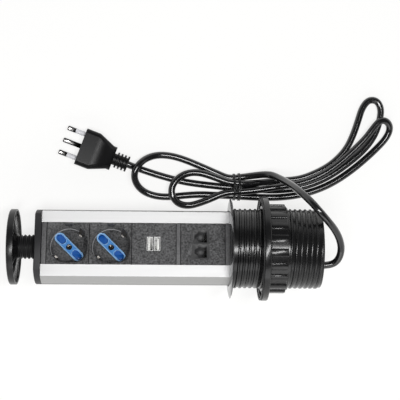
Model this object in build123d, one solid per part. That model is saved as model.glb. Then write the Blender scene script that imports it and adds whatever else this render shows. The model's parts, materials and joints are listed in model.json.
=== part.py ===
from build123d import *
import os
from math import atan, atan2, cos, degrees, dist, pi, radians, sin, sqrt, tan

# Pop up desk socket, lying on its side on a table with its mains lead tied in a hank.
# Every piece of the tower is drawn with the tower's own axis along X, x = 0 at the underside of the
# desk flange, the cap at -X and the cord end at +X, and the socket face looking up +Z.
# At the end all of it is laid down on the table, on the rim of the cap and the rim of the nut.
# Millimetres throughout.

# Gaps between pieces
overrun = 1.0
seat_gap = 0.3
slide_gap = 0.3
stem_gap = 0.06
grip_gap = 0.1
press_gap = 0.05

# Tower extrusion
tower_radius = 36.8
face_height = 17.5
tower_wall = 1.6
tower_top_x = -185.4
tower_end_x = 83.0
slot_half_width = 21.0
rail_thickness = 1.5
rail_top = 13.7
boss_radius = 3.0
boss_sink = 0.8
boss_bore = 1.55
boss_angles = (10.0, -38.0)
key_width = 3.6
key_depth = 1.6
key_pad_width = 7.6

# End plate under the cap
end_plate_thickness = 6.3
end_plate_height = 24.2
end_plate_round = 1.2
clip_pocket_radius = 7.6
clip_pocket_depth = 3.0

# Pull cap
cap_step = 0.5
cap_top_x = -217.0
cap_rim_depth = 6.3
cap_rim_wall = 1.8
cap_disc = 2.6
cap_edge = 0.8
cap_hub_radius = 11.0
cap_hub_end_x = -208.6
cap_cone_radius = 20.0
cap_web_count = 12
cap_web_thickness = 1.4
cap_web_drop = 1.2
cap_travel = 4.0
stem_radius = 5.0
stem_screw_radius = 1.8
clip_thickness = 1.2
clip_radius = 6.6
clip_neck_radius = 3.9

# Bellows and spring round the stem
bellows_crest = 12.1
bellows_root = 10.7
bellows_wall = 0.9
bellows_pitch = 4.0
bellows_foot_radius = 13.0
bellows_foot = 1.2
spring_mean_radius = 7.2
spring_wire = 1.1
spring_pitch = 3.1

# Insert channel and face strips
channel_half_width = 20.7
channel_wall = 1.2
channel_depth = 24.0
channel_floor = 1.4
channel_top = 15.0
channel_ear = 3.3
channel_ear_thickness = 1.6
channel_end_x = -0.6
face_top = 17.2
face_gap = 0.5
face_edge = 0.3
tail_hole_radius = 1.8

# Lengths of the modules along the tower, from the cap end
strip_length = 5.0
socket_length = 41.5
usb_length = 43.4
spacer_length = 4.4
network_length = 43.7
end_strip_length = 5.3
module_half_width = 19.2
module_depth = 22.3

# Socket
mouth_radius = 19.5
recess_ledge = 0.8
recess_ledge_depth = 9.5
recess_depth = 17.5
oval_length = 36.8
oval_width = 10.4
oval_rise = 1.0
oval_seat = 1.1
window_offset = 11.3
window_length = 11.0
window_width = 6.8
earth_hole_radius = 3.0
shutter_thickness = 1.8
shutter_half_width = 3.4
shutter_travel = 6.0
shutter_inner_end = 5.6
shutter_outer_end = 16.6
shutter_bridge = 2.6
shutter_bridge_half = 6.0
shutter_room_radius = 18.4
contact_length = 16.5
contact_wall = 0.5
contact_half_width = 2.9
contact_half_length = 5.2
earth_sleeve_radius = 2.7
tail_radius = 1.0
tail_length = 4.2
clip_width = 5.0
clip_strip = 0.8
clip_slot_width = 6.0
clip_slot_inner = 15.0
clip_slot_outer = 21.3
clip_profile = ((20.4, 15.0), (19.4, 12.0), (16.4, 5.0), (17.9, 0.4))

# USB module
port_spacing = 7.0
port_centre_offset = -0.4
shell_length = 14.0
shell_width = 6.0
shell_wall = 0.4
shell_depth = 13.6
shell_proud = 0.1
tongue_length = 11.2
tongue_thickness = 2.0
tongue_height = 12.0
tongue_shift = 0.9
tongue_pad_width = 1.1
tongue_pad_thickness = 0.15
tongue_pad_pitch = 2.3
tongue_pad_height = 7.0
tongue_pad_count = 4
board_thickness = 1.6
usb_board_length = 36.0
usb_board_half_width = 15.0
usb_skirt = 1.6

# Network module
jack_spacing = 15.2
jack_centre_offset = -2.2
jack_length = 17.0
jack_width = 14.6
jack_depth = 17.0
jack_mouth_length = 8.3
jack_mouth_width = 11.7
jack_mouth_depth = 14.0
jack_latch_overlap = 1.0
latch_step = 1.8
latch_width = 6.2
latch_neck = 2.0
latch_neck_width = 4.0
pin_count = 8
pin_pitch = 1.02
pin_side = 0.35
pin_reach = 9.0
pin_slant = 2.6

# Hidden cover strip and power supply
cover_peg_radius = 1.5
cover_peg_length = 10.0
supply_x = 8.0
supply_length = 50.0
supply_half_width = 16.0
supply_peg_inset = 4.0
transformer_length = 16.0
transformer_half_width = 9.0
transformer_height = 13.0
capacitor_radius = 4.5
capacitor_height = 12.0
capacitor_pitch = 10.5

# Wires inside
wire_radius = 1.1
wire_spread = 8.0
wire_height = 26.6
wire_fan = 1.2
wire_bend = 6.0

# Bottom end cap, cord bush, inner sheath and clamp
stop_step = 0.6
stop_thickness = 3.0
end_boss_radius = 28.0
end_boss_length = 4.5
end_boss_edge = 1.2
cord_y = -15.0
cord_z = -7.0
bush_radius = 5.2
bush_flange_radius = 6.6
bush_flange = 1.5
bush_tail = 20.0
bush_tail_radius = 4.4
sheath_end_x = 58.0
saddle_length = 7.0
saddle_wall = 3.0
saddle_ear = 5.0
saddle_screw_radius = 1.4
saddle_bracket = 3.0

# Screws of the end plates
screw_head_radius = 2.8
screw_head_height = 1.8
screw_shank_radius = 1.45
screw_length = 12.0
screw_slot_width = 0.7
screw_slot_depth = 0.8

# Collar, flange and friction ring, each radius given as its step out from the piece inside it
collar_length = 89.0
collar_wall = 1.4
thread_height = 1.1
thread_pitch = 5.0
thread_flat = 1.2
thread_start = 4.0
mouth_step = 0.7
mouth_length = 12.0
collar_lip_reach = 1.4
collar_lip = 0.8
gasket_width = 5.7
gasket_thickness = 1.0
flange_width = 12.2
flange_thickness = 2.0
flange_edge = 0.9
brake_x = 16.0
brake_width = 4.0
brake_groove = 0.9
key_start_x = 24.0
key_length = 40.0

# Ring nut and its slip ring
nut_front_x = 30.6
nut_core_wall = 1.5
nut_core_end_x = 55.5
grip_root_step = 1.2
grip_depth = 1.5
grip_end_x = 53.5
dish_width = 4.5
rim_wall = 3.15
rim_end_x = 36.2
nut_back_x = 37.4
nut_disc = 2.4
nut_web_count = 20
nut_web_thickness = 1.6
nut_web_set_back = 1.0
grip_count = 20
grip_groove_share = 0.42
slip_ring_inset = 0.35
slip_ring_thickness = 1.2

# Mains lead, tie and plug
cord_diameter = 7.2
cord_end_run = 8.8
cord_arc_share = 0.45
cord_guard_share = 3.3
cord_sample = 1.5
tie_gap = 0.4
tie_thickness = 0.6
tie_width = 2.6
tie_places = (71.8, 77.0)
tie_loop_points = 28
tie_knot_radius = 0.9
tie_knot_length = 10.0
tie_knot_tilt = 12.0
relief_length = 15.8
relief_ring_radius = 8.2
relief_ring_count = 4
relief_ring_pitch = 3.7
relief_ring_width = 1.9
relief_core_radius = 6.0
tail_insertion = 5.1
tail_end_run = 8.8
plug_length = 35.4
plug_disc_length = 3.4
plug_disc_width = 24.6
plug_disc_height = 15.4
plug_disc_corner = 5.0
plug_neck_width = 22.8
plug_straight = 14.8
plug_width = 38.6
plug_thickness = 16.6
plug_corner = 5.0
plug_round = 5.0
plug_pin_spacing = 13.0
plug_pin_radius = 2.4
plug_pin_length = 19.0
plug_pin_core = 1.9
plug_sleeve_length = 10.3
plug_pin_root = 8.0
plug_pin_nose = 1.2
plug_heading = 159.5

# Radii from the tower outwards
collar_bore = tower_radius + slide_gap
collar_mouth_bore = collar_bore + mouth_step
thread_root = collar_bore + collar_wall
thread_crest = thread_root + thread_height
collar_lip_radius = thread_crest + collar_lip_reach
gasket_bore = collar_lip_radius + seat_gap
gasket_radius = gasket_bore + gasket_width
flange_radius = collar_mouth_bore + flange_width
cap_radius = tower_radius + cap_step
stop_radius = tower_radius + stop_step
nut_bore = thread_crest + slide_gap
nut_core_radius = nut_bore + nut_core_wall
grip_root_radius = nut_core_radius + grip_root_step
grip_radius = grip_root_radius + grip_depth
rim_inner_radius = grip_radius + dish_width
rim_radius = rim_inner_radius + rim_wall

# Places worked out from the sizes above
module_lengths = (strip_length, socket_length, socket_length, usb_length, spacer_length,
                  network_length, end_strip_length)
module_starts = [tower_top_x + sum(module_lengths[:i]) for i in range(len(module_lengths))]
end_plate_x = tower_top_x - end_plate_thickness
end_cap_x = tower_end_x + stop_thickness + end_boss_length
gland_face_x = end_cap_x + bush_flange
shutter_top = face_top - recess_depth - oval_seat - seat_gap
shutter_floor = shutter_top - shutter_thickness - seat_gap
lie_angle = degrees(atan((rim_radius - cap_radius) / (nut_front_x - cap_top_x)))
face_roll = 15.4


def rod(x0, x1, radius, y=0, z=0):
    return Pos((x0 + x1) / 2, y, z) * Rot(0, 90, 0) * Cylinder(radius, x1 - x0)


def post(x, y, z0, z1, radius):
    return Pos(x, y, (z0 + z1) / 2) * Cylinder(radius, z1 - z0)


def block(x0, x1, y0, y1, z0, z1):
    return Pos((x0 + x1) / 2, (y0 + y1) / 2, (z0 + z1) / 2) * Box(x1 - x0, y1 - y0, z1 - z0)


def lathe(*points):
    # a ring turned about the tower's axis from an outline of (x, radius)
    return revolve(make_face(Polyline(*points, close=True)), Axis.X)


def ring(x0, x1, outer, inner):
    return lathe((x0, inner), (x1, inner), (x1, outer), (x0, outer))


def d_bar(x0, x1, radius, height):
    return rod(x0, x1, radius) & block(x0, x1, -radius, radius, -radius, height)


def slab(length, width, z0, z1):
    # a bar with round ends, lying along X
    return Pos(0, 0, z0) * extrude(SlotOverall(length, width), z1 - z0)


def key_cut(x0, x1):
    half = key_width / 2 + slide_gap
    return block(x0, x1, -half, half, -tower_radius - overrun, -tower_radius + key_depth + slide_gap)


def boss_places():
    reach = tower_radius - tower_wall - boss_radius + boss_sink
    turns = [radians(a) for a in boss_angles]
    return [(side * reach * cos(turn), reach * sin(turn)) for turn in turns for side in (1, -1)]


def tower_extrusion():
    x0, x1 = tower_top_x, tower_end_x
    inner_radius = tower_radius - tower_wall
    body = d_bar(x0, x1, tower_radius, face_height)
    body -= d_bar(x0 - overrun, x1 + overrun, inner_radius, face_height - tower_wall)
    body -= block(x0 - overrun, x1 + overrun, -slot_half_width, slot_half_width, 0, face_height + overrun)
    rail_reach = sqrt(inner_radius ** 2 - rail_top ** 2) + tower_wall / 2
    for side in (1, -1):
        low, high = sorted((side * slot_half_width, side * rail_reach))
        body += block(x0, x1, low, high, rail_top - rail_thickness, rail_top)
    pad_top = -tower_radius + key_depth + slide_gap + tower_wall
    pad = block(x0, x1, -key_pad_width / 2, key_pad_width / 2, -inner_radius - tower_wall / 2, pad_top)
    body += pad
    for y, z in boss_places():
        body += rod(x0, x1, boss_radius, y, z)
    body = body & rod(x0, x1, tower_radius)
    body -= key_cut(x0 - overrun, x1 + overrun)
    for y, z in boss_places():
        body -= rod(x0 - overrun, x1 + overrun, boss_bore, y, z)
    return body


def top_end_plate():
    x0, x1 = end_plate_x, tower_top_x
    plate = d_bar(x0, x1, tower_radius, end_plate_height)
    plate = fillet(plate.faces().sort_by(Axis.X)[0].edges(), end_plate_round)
    plate -= rod(x0 - overrun, x1 + overrun, stem_radius + stem_gap)
    plate -= rod(x1 - clip_pocket_depth, x1 + overrun, clip_pocket_radius)
    plate -= key_cut(x0 - overrun, x1 + overrun)
    for y, z in boss_places():
        plate -= rod(x0 - overrun, x1 + overrun, screw_shank_radius + press_gap, y, z)
        plate -= rod(x0 - overrun, x0 + screw_head_height, screw_head_radius + grip_gap, y, z)
    return plate


def plate_screws(head_x, way):
    # round headed screws with a cross slot; way is the direction that they point in along X
    group = []
    for y, z in boss_places():
        head_end = head_x + way * screw_head_height
        tip = head_x + way * screw_length
        screw = rod(min(head_x, head_end), max(head_x, head_end), screw_head_radius, y, z)
        screw += rod(min(head_end, tip), max(head_end, tip), screw_shank_radius, y, z)
        cut_end = head_x + way * screw_slot_depth
        low, high = min(head_x - way * overrun, cut_end), max(head_x - way * overrun, cut_end)
        reach, half = screw_head_radius - screw_slot_width, screw_slot_width / 2
        screw -= block(low, high, y - reach, y + reach, z - half, z + half)
        screw -= block(low, high, y - half, y + half, z - reach, z + reach)
        group.append(screw)
    return Compound([s.solid() for s in group])


def pull_cap():
    rim_end = cap_top_x + cap_rim_depth
    disc_end = cap_top_x + cap_disc
    cap = lathe((cap_top_x, 0), (cap_top_x, cap_radius - cap_edge), (cap_top_x + cap_edge, cap_radius),
                (rim_end, cap_radius), (rim_end, cap_radius - cap_rim_wall),
                (disc_end, cap_radius - cap_rim_wall), (disc_end, cap_cone_radius),
                (cap_hub_end_x, cap_hub_radius), (cap_hub_end_x, 0))
    web_outer = cap_radius - cap_rim_wall / 2
    foot, top = disc_end - cap_disc / 2, cap_hub_end_x - cap_web_drop
    slope = make_face(Polyline((foot, cap_hub_radius / 2), (top, cap_hub_radius / 2), (top, cap_hub_radius),
                               (rim_end - cap_web_drop, web_outer), (foot, web_outer), close=True))
    for i in range(cap_web_count):
        web = extrude(slope, cap_web_thickness / 2, both=True)
        cap += Rot(360 / cap_web_count * (i + 1 / 2), 0, 0) * web
    seat = cap_hub_end_x - stem_radius
    cap -= rod(seat, cap_hub_end_x + overrun, stem_radius + press_gap)
    cap -= rod(seat - stem_screw_radius - press_gap, seat + overrun, stem_screw_radius + press_gap)
    cap -= ring(cap_hub_end_x - spring_wire, cap_hub_end_x + overrun,
                spring_mean_radius + spring_wire, spring_mean_radius - spring_wire)
    return cap


def cap_stem():
    # a plain stem with a groove for the clip that keeps the cap on
    seat = cap_hub_end_x - stem_radius
    clip_x = tower_top_x - clip_pocket_depth + grip_gap
    end = clip_x + clip_thickness + grip_gap + overrun
    stem = rod(seat, end, stem_radius)
    stem -= ring(clip_x, clip_x + clip_thickness, stem_radius + overrun, clip_neck_radius)
    stem += rod(seat - stem_screw_radius, seat, stem_screw_radius)
    return stem


def stem_clip():
    clip_x = tower_top_x - clip_pocket_depth + grip_gap
    clip = ring(clip_x, clip_x + clip_thickness - press_gap, clip_radius, clip_neck_radius + press_gap)
    clip -= block(clip_x - overrun, clip_x + clip_thickness + overrun, 0, clip_radius + overrun,
                  -clip_neck_radius * (1 / 2), clip_neck_radius * (1 / 2))
    return clip


def neck_bellows():
    x0, x1 = cap_hub_end_x + grip_gap, end_plate_x - grip_gap
    folds = int((x1 - bellows_foot - x0) / bellows_pitch)
    step = (x1 - bellows_foot - x0) / folds
    outside = [(x0, bellows_root)]
    for i in range(folds):
        outside.append((x0 + step * (i + 1 / 2), bellows_crest))
        outside.append((x0 + step * (i + 1), bellows_root))
    outside.append((x1, bellows_foot_radius))
    inside = [(x, r - bellows_wall) for x, r in outside]
    inside[-1] = (x1, outside[-2][1] - bellows_wall)
    return lathe(*outside, *reversed(inside))


def cap_spring():
    x0 = cap_hub_end_x - spring_wire + spring_wire / 2 + press_gap
    x1 = end_plate_x - spring_wire / 2 - press_gap
    helix = Helix(spring_pitch, x1 - x0, spring_mean_radius)
    wire = sweep(Plane(origin=helix @ 0, z_dir=helix % 0) * Circle(spring_wire / 2), helix)
    return Pos(x0, 0, 0) * Rot(0, 90, 0) * wire


def module_channel():
    x0, x1 = tower_top_x + seat_gap, channel_end_x
    half, inner = channel_half_width, channel_half_width - channel_wall
    body = block(x0, x1, -half, half, -channel_depth, channel_top)
    floor = -channel_depth + channel_floor
    body -= block(x0 - overrun, x1 + overrun, -inner, inner, floor, channel_top + overrun)
    low = rail_top + seat_gap
    for side in (1, -1):
        near, far = sorted((side * (half - channel_wall), side * (half + channel_ear)))
        body += block(x0, x1, near, far, low, low + channel_ear_thickness) & \
            block(x0, x1, near, far, low, channel_top)
    for x in socket_centres():
        for dx, dy in tail_places():
            body -= post(x + dx, dy, -channel_depth - overrun, floor + overrun, tail_hole_radius)
    return body


def socket_centres():
    return [module_starts[i] + socket_length / 2 for i in (1, 2)]


def tail_places():
    reach = window_offset / sqrt(2)
    return [(-reach, reach), (0, 0), (reach, -reach)]


def face_blank(x0, length):
    # a plain strip of the black face with its ends broken, so that the seams show as dark lines
    x1 = x0 + length
    low, high = x0 + face_gap / 2, x1 - face_gap / 2
    strip = block(low, high, -channel_half_width, channel_half_width, channel_top, face_top)
    return chamfer(strip.edges().filter_by(Axis.Y).group_by(Axis.Z)[-1], face_edge)


def module_block(x0, length):
    body = face_blank(x0, length)
    body += block(x0 + seat_gap, x0 + length - seat_gap, -module_half_width, module_half_width,
                  -module_depth, channel_top)
    return body


def turned(shape, x):
    # oval pieces are drawn along X and turned half way to +Y at the upper left
    return Pos(x, 0, 0) * Rot(0, 0, 135) * shape


def windows(z0, z1):
    slot = slab(window_length, window_width, z0, z1)
    return Pos(window_offset, 0, 0) * slot + Pos(-window_offset, 0, 0) * slot


def socket_body(x0, centre):
    floor = face_top - recess_depth
    body = module_block(x0, socket_length)
    recess = post(0, 0, floor, face_top + overrun, mouth_radius - recess_ledge)
    recess += post(0, 0, face_top - recess_ledge_depth, face_top + overrun, mouth_radius)
    reach, bridge = shutter_outer_end + seat_gap * 2, shutter_bridge_half + seat_gap * 2
    side, ceiling = shutter_half_width + shutter_travel + seat_gap, floor - oval_seat
    room = block(-reach, reach, -shutter_half_width - seat_gap, side, shutter_floor, ceiling)
    room += block(-bridge, bridge, 0, side + shutter_bridge, shutter_floor, ceiling)
    room = room & post(0, 0, shutter_floor, ceiling, shutter_room_radius)
    seat = slab(oval_length + press_gap * 2, oval_width + press_gap * 2, floor - oval_seat, floor + overrun)
    cuts = [recess, room, seat]
    low = shutter_floor - contact_length - press_gap
    length, width = (contact_half_length + press_gap) * 2, (contact_half_width + press_gap) * 2
    for side in (1, -1):
        cuts.append(Pos(side * window_offset, 0, 0) * slab(length, width, low, shutter_floor + press_gap))
    cuts.append(post(0, 0, low, shutter_floor + press_gap, earth_sleeve_radius + press_gap))
    for dx, dy in ((window_offset, 0), (-window_offset, 0), (0, 0)):
        cuts.append(post(dx, dy, -module_depth - overrun, low + overrun, tail_radius + press_gap))
    slot = block(clip_slot_inner, clip_slot_outer, -clip_slot_width / 2, clip_slot_width / 2, floor,
                 face_top - overrun)
    cuts += [Rot(0, 0, turn) * slot for turn in (90, -90)]
    for cut in cuts:
        body -= turned(cut, centre)
    return body


def socket_insert(centre):
    floor = face_top - recess_depth
    insert = slab(oval_length, oval_width, floor - oval_seat, floor + oval_rise)
    top = insert.faces().sort_by(Axis.Z)[-1]
    insert = fillet(top.edges(), oval_rise / 2)
    insert -= windows(floor - oval_seat - overrun, floor + oval_rise + overrun)
    insert -= post(0, 0, floor - oval_seat - overrun, floor + oval_rise + overrun, earth_hole_radius)
    return turned(insert, centre)


def socket_shutter(centre):
    z0, z1 = shutter_top - shutter_thickness, shutter_top
    reach = shutter_outer_end - shutter_half_width
    shutter = block(shutter_inner_end, reach, -shutter_half_width, shutter_half_width, z0, z1)
    shutter += post(reach, 0, z0, z1, shutter_half_width)
    shutter += Rot(0, 0, 180) * shutter
    bridge_side = shutter_half_width + shutter_bridge
    shutter += block(-shutter_inner_end, shutter_inner_end, shutter_half_width, bridge_side, z0, z1)
    for side in (1, -1):
        near, far = sorted((side * shutter_inner_end, side * (shutter_inner_end + shutter_bridge)))
        shutter += block(near, far, 0, shutter_half_width, z0, z1)
    corner = shutter_inner_end + overrun / 2
    shutter += block(-corner, corner, shutter_half_width - overrun / 2, bridge_side, z0, z1)
    return turned(shutter, centre)


def contact_sleeve(x, length, width, high):
    low = high - contact_length
    sleeve = slab(length, width, low, high)
    sleeve -= slab(length - contact_wall * 2, width - contact_wall * 2, low + overrun, high + overrun)
    tail = post(0, 0, low - tail_length, low, tail_radius)
    return Pos(x, 0, 0) * (sleeve + tail)


def socket_contacts(centre):
    high = shutter_floor
    pieces = [contact_sleeve(side * window_offset, contact_half_length * 2, contact_half_width * 2, high)
              for side in (1, -1)]
    low = high - contact_length
    round_sleeve = post(0, 0, low, high, earth_sleeve_radius)
    round_sleeve -= post(0, 0, low + overrun, high + overrun, earth_sleeve_radius - contact_wall)
    round_sleeve += post(0, 0, low - tail_length, low, tail_radius)
    pieces.append(round_sleeve)
    return Compound([turned(p, centre).solid() for p in pieces])


def earth_clips(centre):
    # a sprung strip in a slot of the wall on each side of the recess
    floor = face_top - recess_depth
    outline = [(r, floor + z) for r, z in clip_profile]
    path = [(r, 0, z) for r, z in outline]
    strip = None
    for a, b in zip(path[:-1], path[1:]):
        lean = degrees(atan2(b[0] - a[0], a[2] - b[2]))
        leg = Rot(0, -lean, 0) * Box(clip_strip, clip_width, dist(a, b))
        leg = Pos((a[0] + b[0]) / 2, 0, (a[2] + b[2]) / 2) * leg
        strip = leg if strip is None else strip + leg
        if b is not path[-1]:
            strip += Pos(b[0], 0, b[2]) * Rot(90, 0, 0) * Cylinder(clip_strip / 2, clip_width)
    pieces = [turned(Rot(0, 0, turn) * strip, centre).solid() for turn in (90, -90)]
    return Compound(pieces)


def port_centres():
    middle = module_starts[3] + usb_length / 2 + port_centre_offset
    return [middle + side * port_spacing / 2 for side in (-1, 1)]


def usb_module():
    x0 = module_starts[3]
    body = module_block(x0, usb_length)
    board_top = face_top - shell_depth
    for x in port_centres():
        half_x, half_y = shell_width / 2 + grip_gap, shell_length / 2 + grip_gap
        body -= block(x - half_x, x + half_x, -half_y, half_y, board_top - overrun, face_top + overrun)
    mid = x0 + usb_length / 2
    half = usb_length / 2 - seat_gap - usb_skirt
    body -= block(mid - half, mid + half, -module_half_width + usb_skirt, module_half_width - usb_skirt,
                  -module_depth - overrun, board_top)
    return body


def usb_shells():
    group = []
    for x in port_centres():
        z0, z1 = face_top - shell_depth, face_top + shell_proud
        half_x, half_y = shell_width / 2, shell_length / 2
        shell = block(x - half_x, x + half_x, -half_y, half_y, z0, z1)
        inner_x, inner_y = half_x - shell_wall, half_y - shell_wall
        shell -= block(x - inner_x, x + inner_x, -inner_y, inner_y, z0 + shell_wall, z1 + overrun)
        group.append(shell.solid())
    return Compound(group)


def usb_tongues():
    group = []
    z0 = face_top - shell_depth + shell_wall
    for side, x in zip((-1, 1), port_centres()):
        low = x + side * tongue_shift - tongue_thickness / 2
        group.append(block(low, low + tongue_thickness, -tongue_length / 2, tongue_length / 2,
                           z0, z0 + tongue_height).solid())
        face = low + tongue_thickness / 2 - side * tongue_thickness / 2
        near, far = sorted((face, face - side * tongue_pad_thickness))
        for i in range(tongue_pad_count):
            y = (i - (tongue_pad_count - 1) / 2) * tongue_pad_pitch
            group.append(block(near, far, y - tongue_pad_width / 2, y + tongue_pad_width / 2,
                               z0, z0 + tongue_pad_height).solid())
    return Compound(group)


def usb_board():
    mid = module_starts[3] + usb_length / 2
    top = face_top - shell_depth
    board = block(mid - usb_board_length / 2, mid + usb_board_length / 2, -usb_board_half_width,
                  usb_board_half_width, top - board_thickness, top)
    return board


def jack_centres():
    x = module_starts[5] + network_length / 2 + jack_centre_offset
    return [(x, side * jack_spacing / 2) for side in (1, -1)]


def network_module():
    body = module_block(module_starts[5], network_length)
    for x, y in jack_centres():
        half_x, half_y = jack_length / 2 + grip_gap / 2, jack_width / 2 + grip_gap / 2
        low = face_top - jack_depth - press_gap
        body -= block(x - half_x, x + half_x, y - half_y, y + half_y, low, face_top + overrun)
    return body


def jack_housings():
    group = []
    for x, y in jack_centres():
        z0, z1 = face_top - jack_mouth_depth, face_top + overrun
        jack = block(x - jack_length / 2, x + jack_length / 2, y - jack_width / 2, y + jack_width / 2,
                     face_top - jack_depth, face_top)
        high_x = x + (jack_mouth_length + latch_step + latch_neck) / 2
        low_x = high_x - jack_mouth_length
        jack -= block(low_x, high_x, y - jack_mouth_width / 2, y + jack_mouth_width / 2, z0, z1)
        latch_x = low_x - latch_step
        jack -= block(latch_x, low_x + jack_latch_overlap, y - latch_width / 2, y + latch_width / 2, z0, z1)
        half = latch_neck_width / 2
        jack -= block(latch_x - latch_neck, low_x, y - half, y + half, z0, z1)
        group.append(jack.solid())
    return Compound(group)


def jack_contacts():
    # sprung wires that lean out from the floor of each jack towards its plug side
    group = []
    for x, y in jack_centres():
        wall_x = x + (jack_mouth_length + latch_step + latch_neck) / 2
        z0 = face_top - jack_mouth_depth
        for i in range(pin_count):
            place = y + (i - (pin_count - 1) / 2) * pin_pitch
            tip_x = wall_x - pin_slant
            tip_z = z0 + pin_reach
            face = make_face(Polyline((wall_x, z0), (wall_x - pin_side, z0), (tip_x - pin_side, tip_z),
                                      (tip_x, tip_z), close=True))
            pin = Pos(0, place, 0) * Rot(90, 0, 0) * extrude(face, pin_side / 2, both=True)
            group.append(pin.solid())
    return Compound(group)


def cover_strip():
    # closes the slot of the extrusion inside the collar and carries the power supply
    x0, x1 = module_starts[6] + end_strip_length, tower_end_x - seat_gap
    low = rail_top + seat_gap
    strip = block(x0, x1, -channel_half_width, channel_half_width, low, face_top)
    strip += block(x0, x1, -channel_half_width - channel_ear, channel_half_width + channel_ear,
                   low, low + channel_ear_thickness)
    for x, y in supply_pegs():
        strip += post(x, y, low - cover_peg_length, low, cover_peg_radius)
    return strip


def supply_pegs():
    near, far = supply_x + supply_peg_inset, supply_x + supply_length - supply_peg_inset
    wide = supply_half_width - supply_peg_inset
    return [(x, y) for x in (near, far) for y in (wide, -wide)]


def supply_board():
    top = rail_top + seat_gap - cover_peg_length
    half = supply_half_width
    return block(supply_x, supply_x + supply_length, -half, half, top - board_thickness, top)


def supply_parts():
    top = rail_top + seat_gap - cover_peg_length - board_thickness
    x0 = supply_x + supply_peg_inset
    x1 = x0 + transformer_length
    half = transformer_half_width
    group = [block(x0, x1, -half, half, top - transformer_height, top).solid()]
    for i in range(2):
        x = x1 + capacitor_radius * 2 + i * capacitor_pitch
        group.append(post(x, capacitor_radius * 2, top - capacitor_height, top, capacitor_radius).solid())
    return Compound(group)


def inner_wire(lane):
    # one of the three cores, from the sheath's end down under the channel and along to the sockets
    start_y = cord_y + lane * wire_fan * 2
    fall_x = sheath_end_x - wire_height / 2 - wire_bend
    path = FilletPolyline(
        (sheath_end_x, start_y, cord_z),
        (sheath_end_x - wire_bend * 2, start_y, cord_z),
        (fall_x - wire_bend, lane * wire_spread, -wire_height),
        (socket_centres()[0] - window_offset, lane * wire_spread, -wire_height),
        radius=wire_bend)
    return sweep(Plane(origin=path @ 0, z_dir=path % 0) * Circle(wire_radius), path)


def bottom_end_cap():
    x0, x1 = tower_end_x, tower_end_x + stop_thickness
    cap = rod(x0, x1, stop_radius)
    boss = rod(x1, end_cap_x, end_boss_radius)
    boss = chamfer(boss.faces().sort_by(Axis.X)[-1].edges(), end_boss_edge)
    cap += boss
    cap -= key_cut(x0 - overrun, x1 + overrun)
    cap -= rod(x0 - overrun, end_cap_x + overrun, bush_radius + press_gap, cord_y, cord_z)
    for y, z in boss_places():
        cap -= rod(x0 - overrun, x1 + overrun, screw_shank_radius + press_gap, y, z)
        cap -= rod(x1 - screw_head_height, x1 + overrun, screw_head_radius + grip_gap, y, z)
    bracket_x1 = x0
    bracket_x0 = bush_tail_start() - saddle_length - seat_gap
    half = cord_diameter / 2 + saddle_ear
    low = cord_z - cord_diameter / 2 - saddle_bracket - seat_gap
    for side in (1, -1):
        near, far = sorted((cord_y + side * (half - saddle_bracket), cord_y + side * half))
        cap += block(bracket_x0, bracket_x1, near, far, low, low + saddle_bracket)
    near, far = cord_y - half, cord_y + half
    cap += block(bracket_x0, bracket_x0 + saddle_length, near, far, low, low + saddle_bracket)
    return cap


def bush_tail_start():
    return tower_end_x - bush_tail


def cord_bush():
    # rubber bush with its tapered sleeve inside the tower and a small flange outside
    x0, x1 = bush_tail_start(), end_cap_x
    bore = cord_diameter / 2 + press_gap
    edge = bush_flange / 3
    bush = lathe((x0, bore), (x0, bush_tail_radius), (tower_end_x - overrun, bush_radius), (x1, bush_radius),
                 (x1, bush_flange_radius), (gland_face_x - edge, bush_flange_radius),
                 (gland_face_x, bush_flange_radius - edge), (gland_face_x, bore))
    return Pos(0, cord_y, cord_z) * bush


def inner_sheath():
    return rod(sheath_end_x, gland_face_x, cord_diameter / 2, cord_y, cord_z)


def cord_saddle():
    x1 = bush_tail_start() - seat_gap
    x0 = x1 - saddle_length
    half = cord_diameter / 2 + saddle_ear
    low = cord_z - cord_diameter / 2 - seat_gap
    saddle = block(x0, x1, cord_y - half, cord_y + half, low, cord_z + saddle_wall / 2)
    saddle += rod(x0, x1, cord_diameter / 2 + saddle_wall, cord_y, cord_z) & \
        block(x0, x1, cord_y - half, cord_y + half, cord_z, cord_z + half)
    saddle -= rod(x0 - overrun, x1 + overrun, cord_diameter / 2 + press_gap, cord_y, cord_z)
    return saddle


def threaded_collar():
    # the thread is drawn as rings of its own outline, which is how it looks from the side
    outline = [(0, collar_mouth_bore), (0, collar_lip_radius), (collar_lip, collar_lip_radius),
               (collar_lip, thread_root)]
    flank = (thread_pitch - thread_flat) / 4
    x = thread_start
    while x + thread_pitch / 2 < collar_length:
        low, high = x - thread_flat / 2, x + thread_flat / 2
        outline += [(low - flank, thread_root), (low, thread_crest), (high, thread_crest),
                    (high + flank, thread_root)]
        x += thread_pitch
    brake_end, groove_radius = brake_x + brake_width, collar_bore + brake_groove
    outline += [(collar_length, thread_root), (collar_length, collar_mouth_bore),
                (stop_face_x(), collar_mouth_bore), (stop_face_x(), collar_bore), (brake_end, collar_bore),
                (brake_end, groove_radius), (brake_x, groove_radius), (brake_x, collar_bore),
                (mouth_length, collar_bore), (mouth_length, collar_mouth_bore)]
    collar = lathe(*outline)
    half, low, high = key_width / 2, -collar_bore - overrun / 2, -tower_radius + key_depth
    key = block(key_start_x, key_start_x + key_length, -half, half, low, high)
    return collar + key


def stop_face_x():
    return tower_end_x - seat_gap


def flange_ring():
    edge, front, rim = flange_edge, -flange_thickness, flange_radius - flange_edge / 2
    return lathe((front, collar_mouth_bore), (front, flange_radius - edge * 2), (front + edge / 2, rim),
                 (front / 2, flange_radius), (-edge / 2, rim), (0, flange_radius - edge),
                 (0, collar_mouth_bore))


def flange_gasket():
    return ring(0, gasket_thickness, gasket_radius, gasket_bore)


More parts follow.
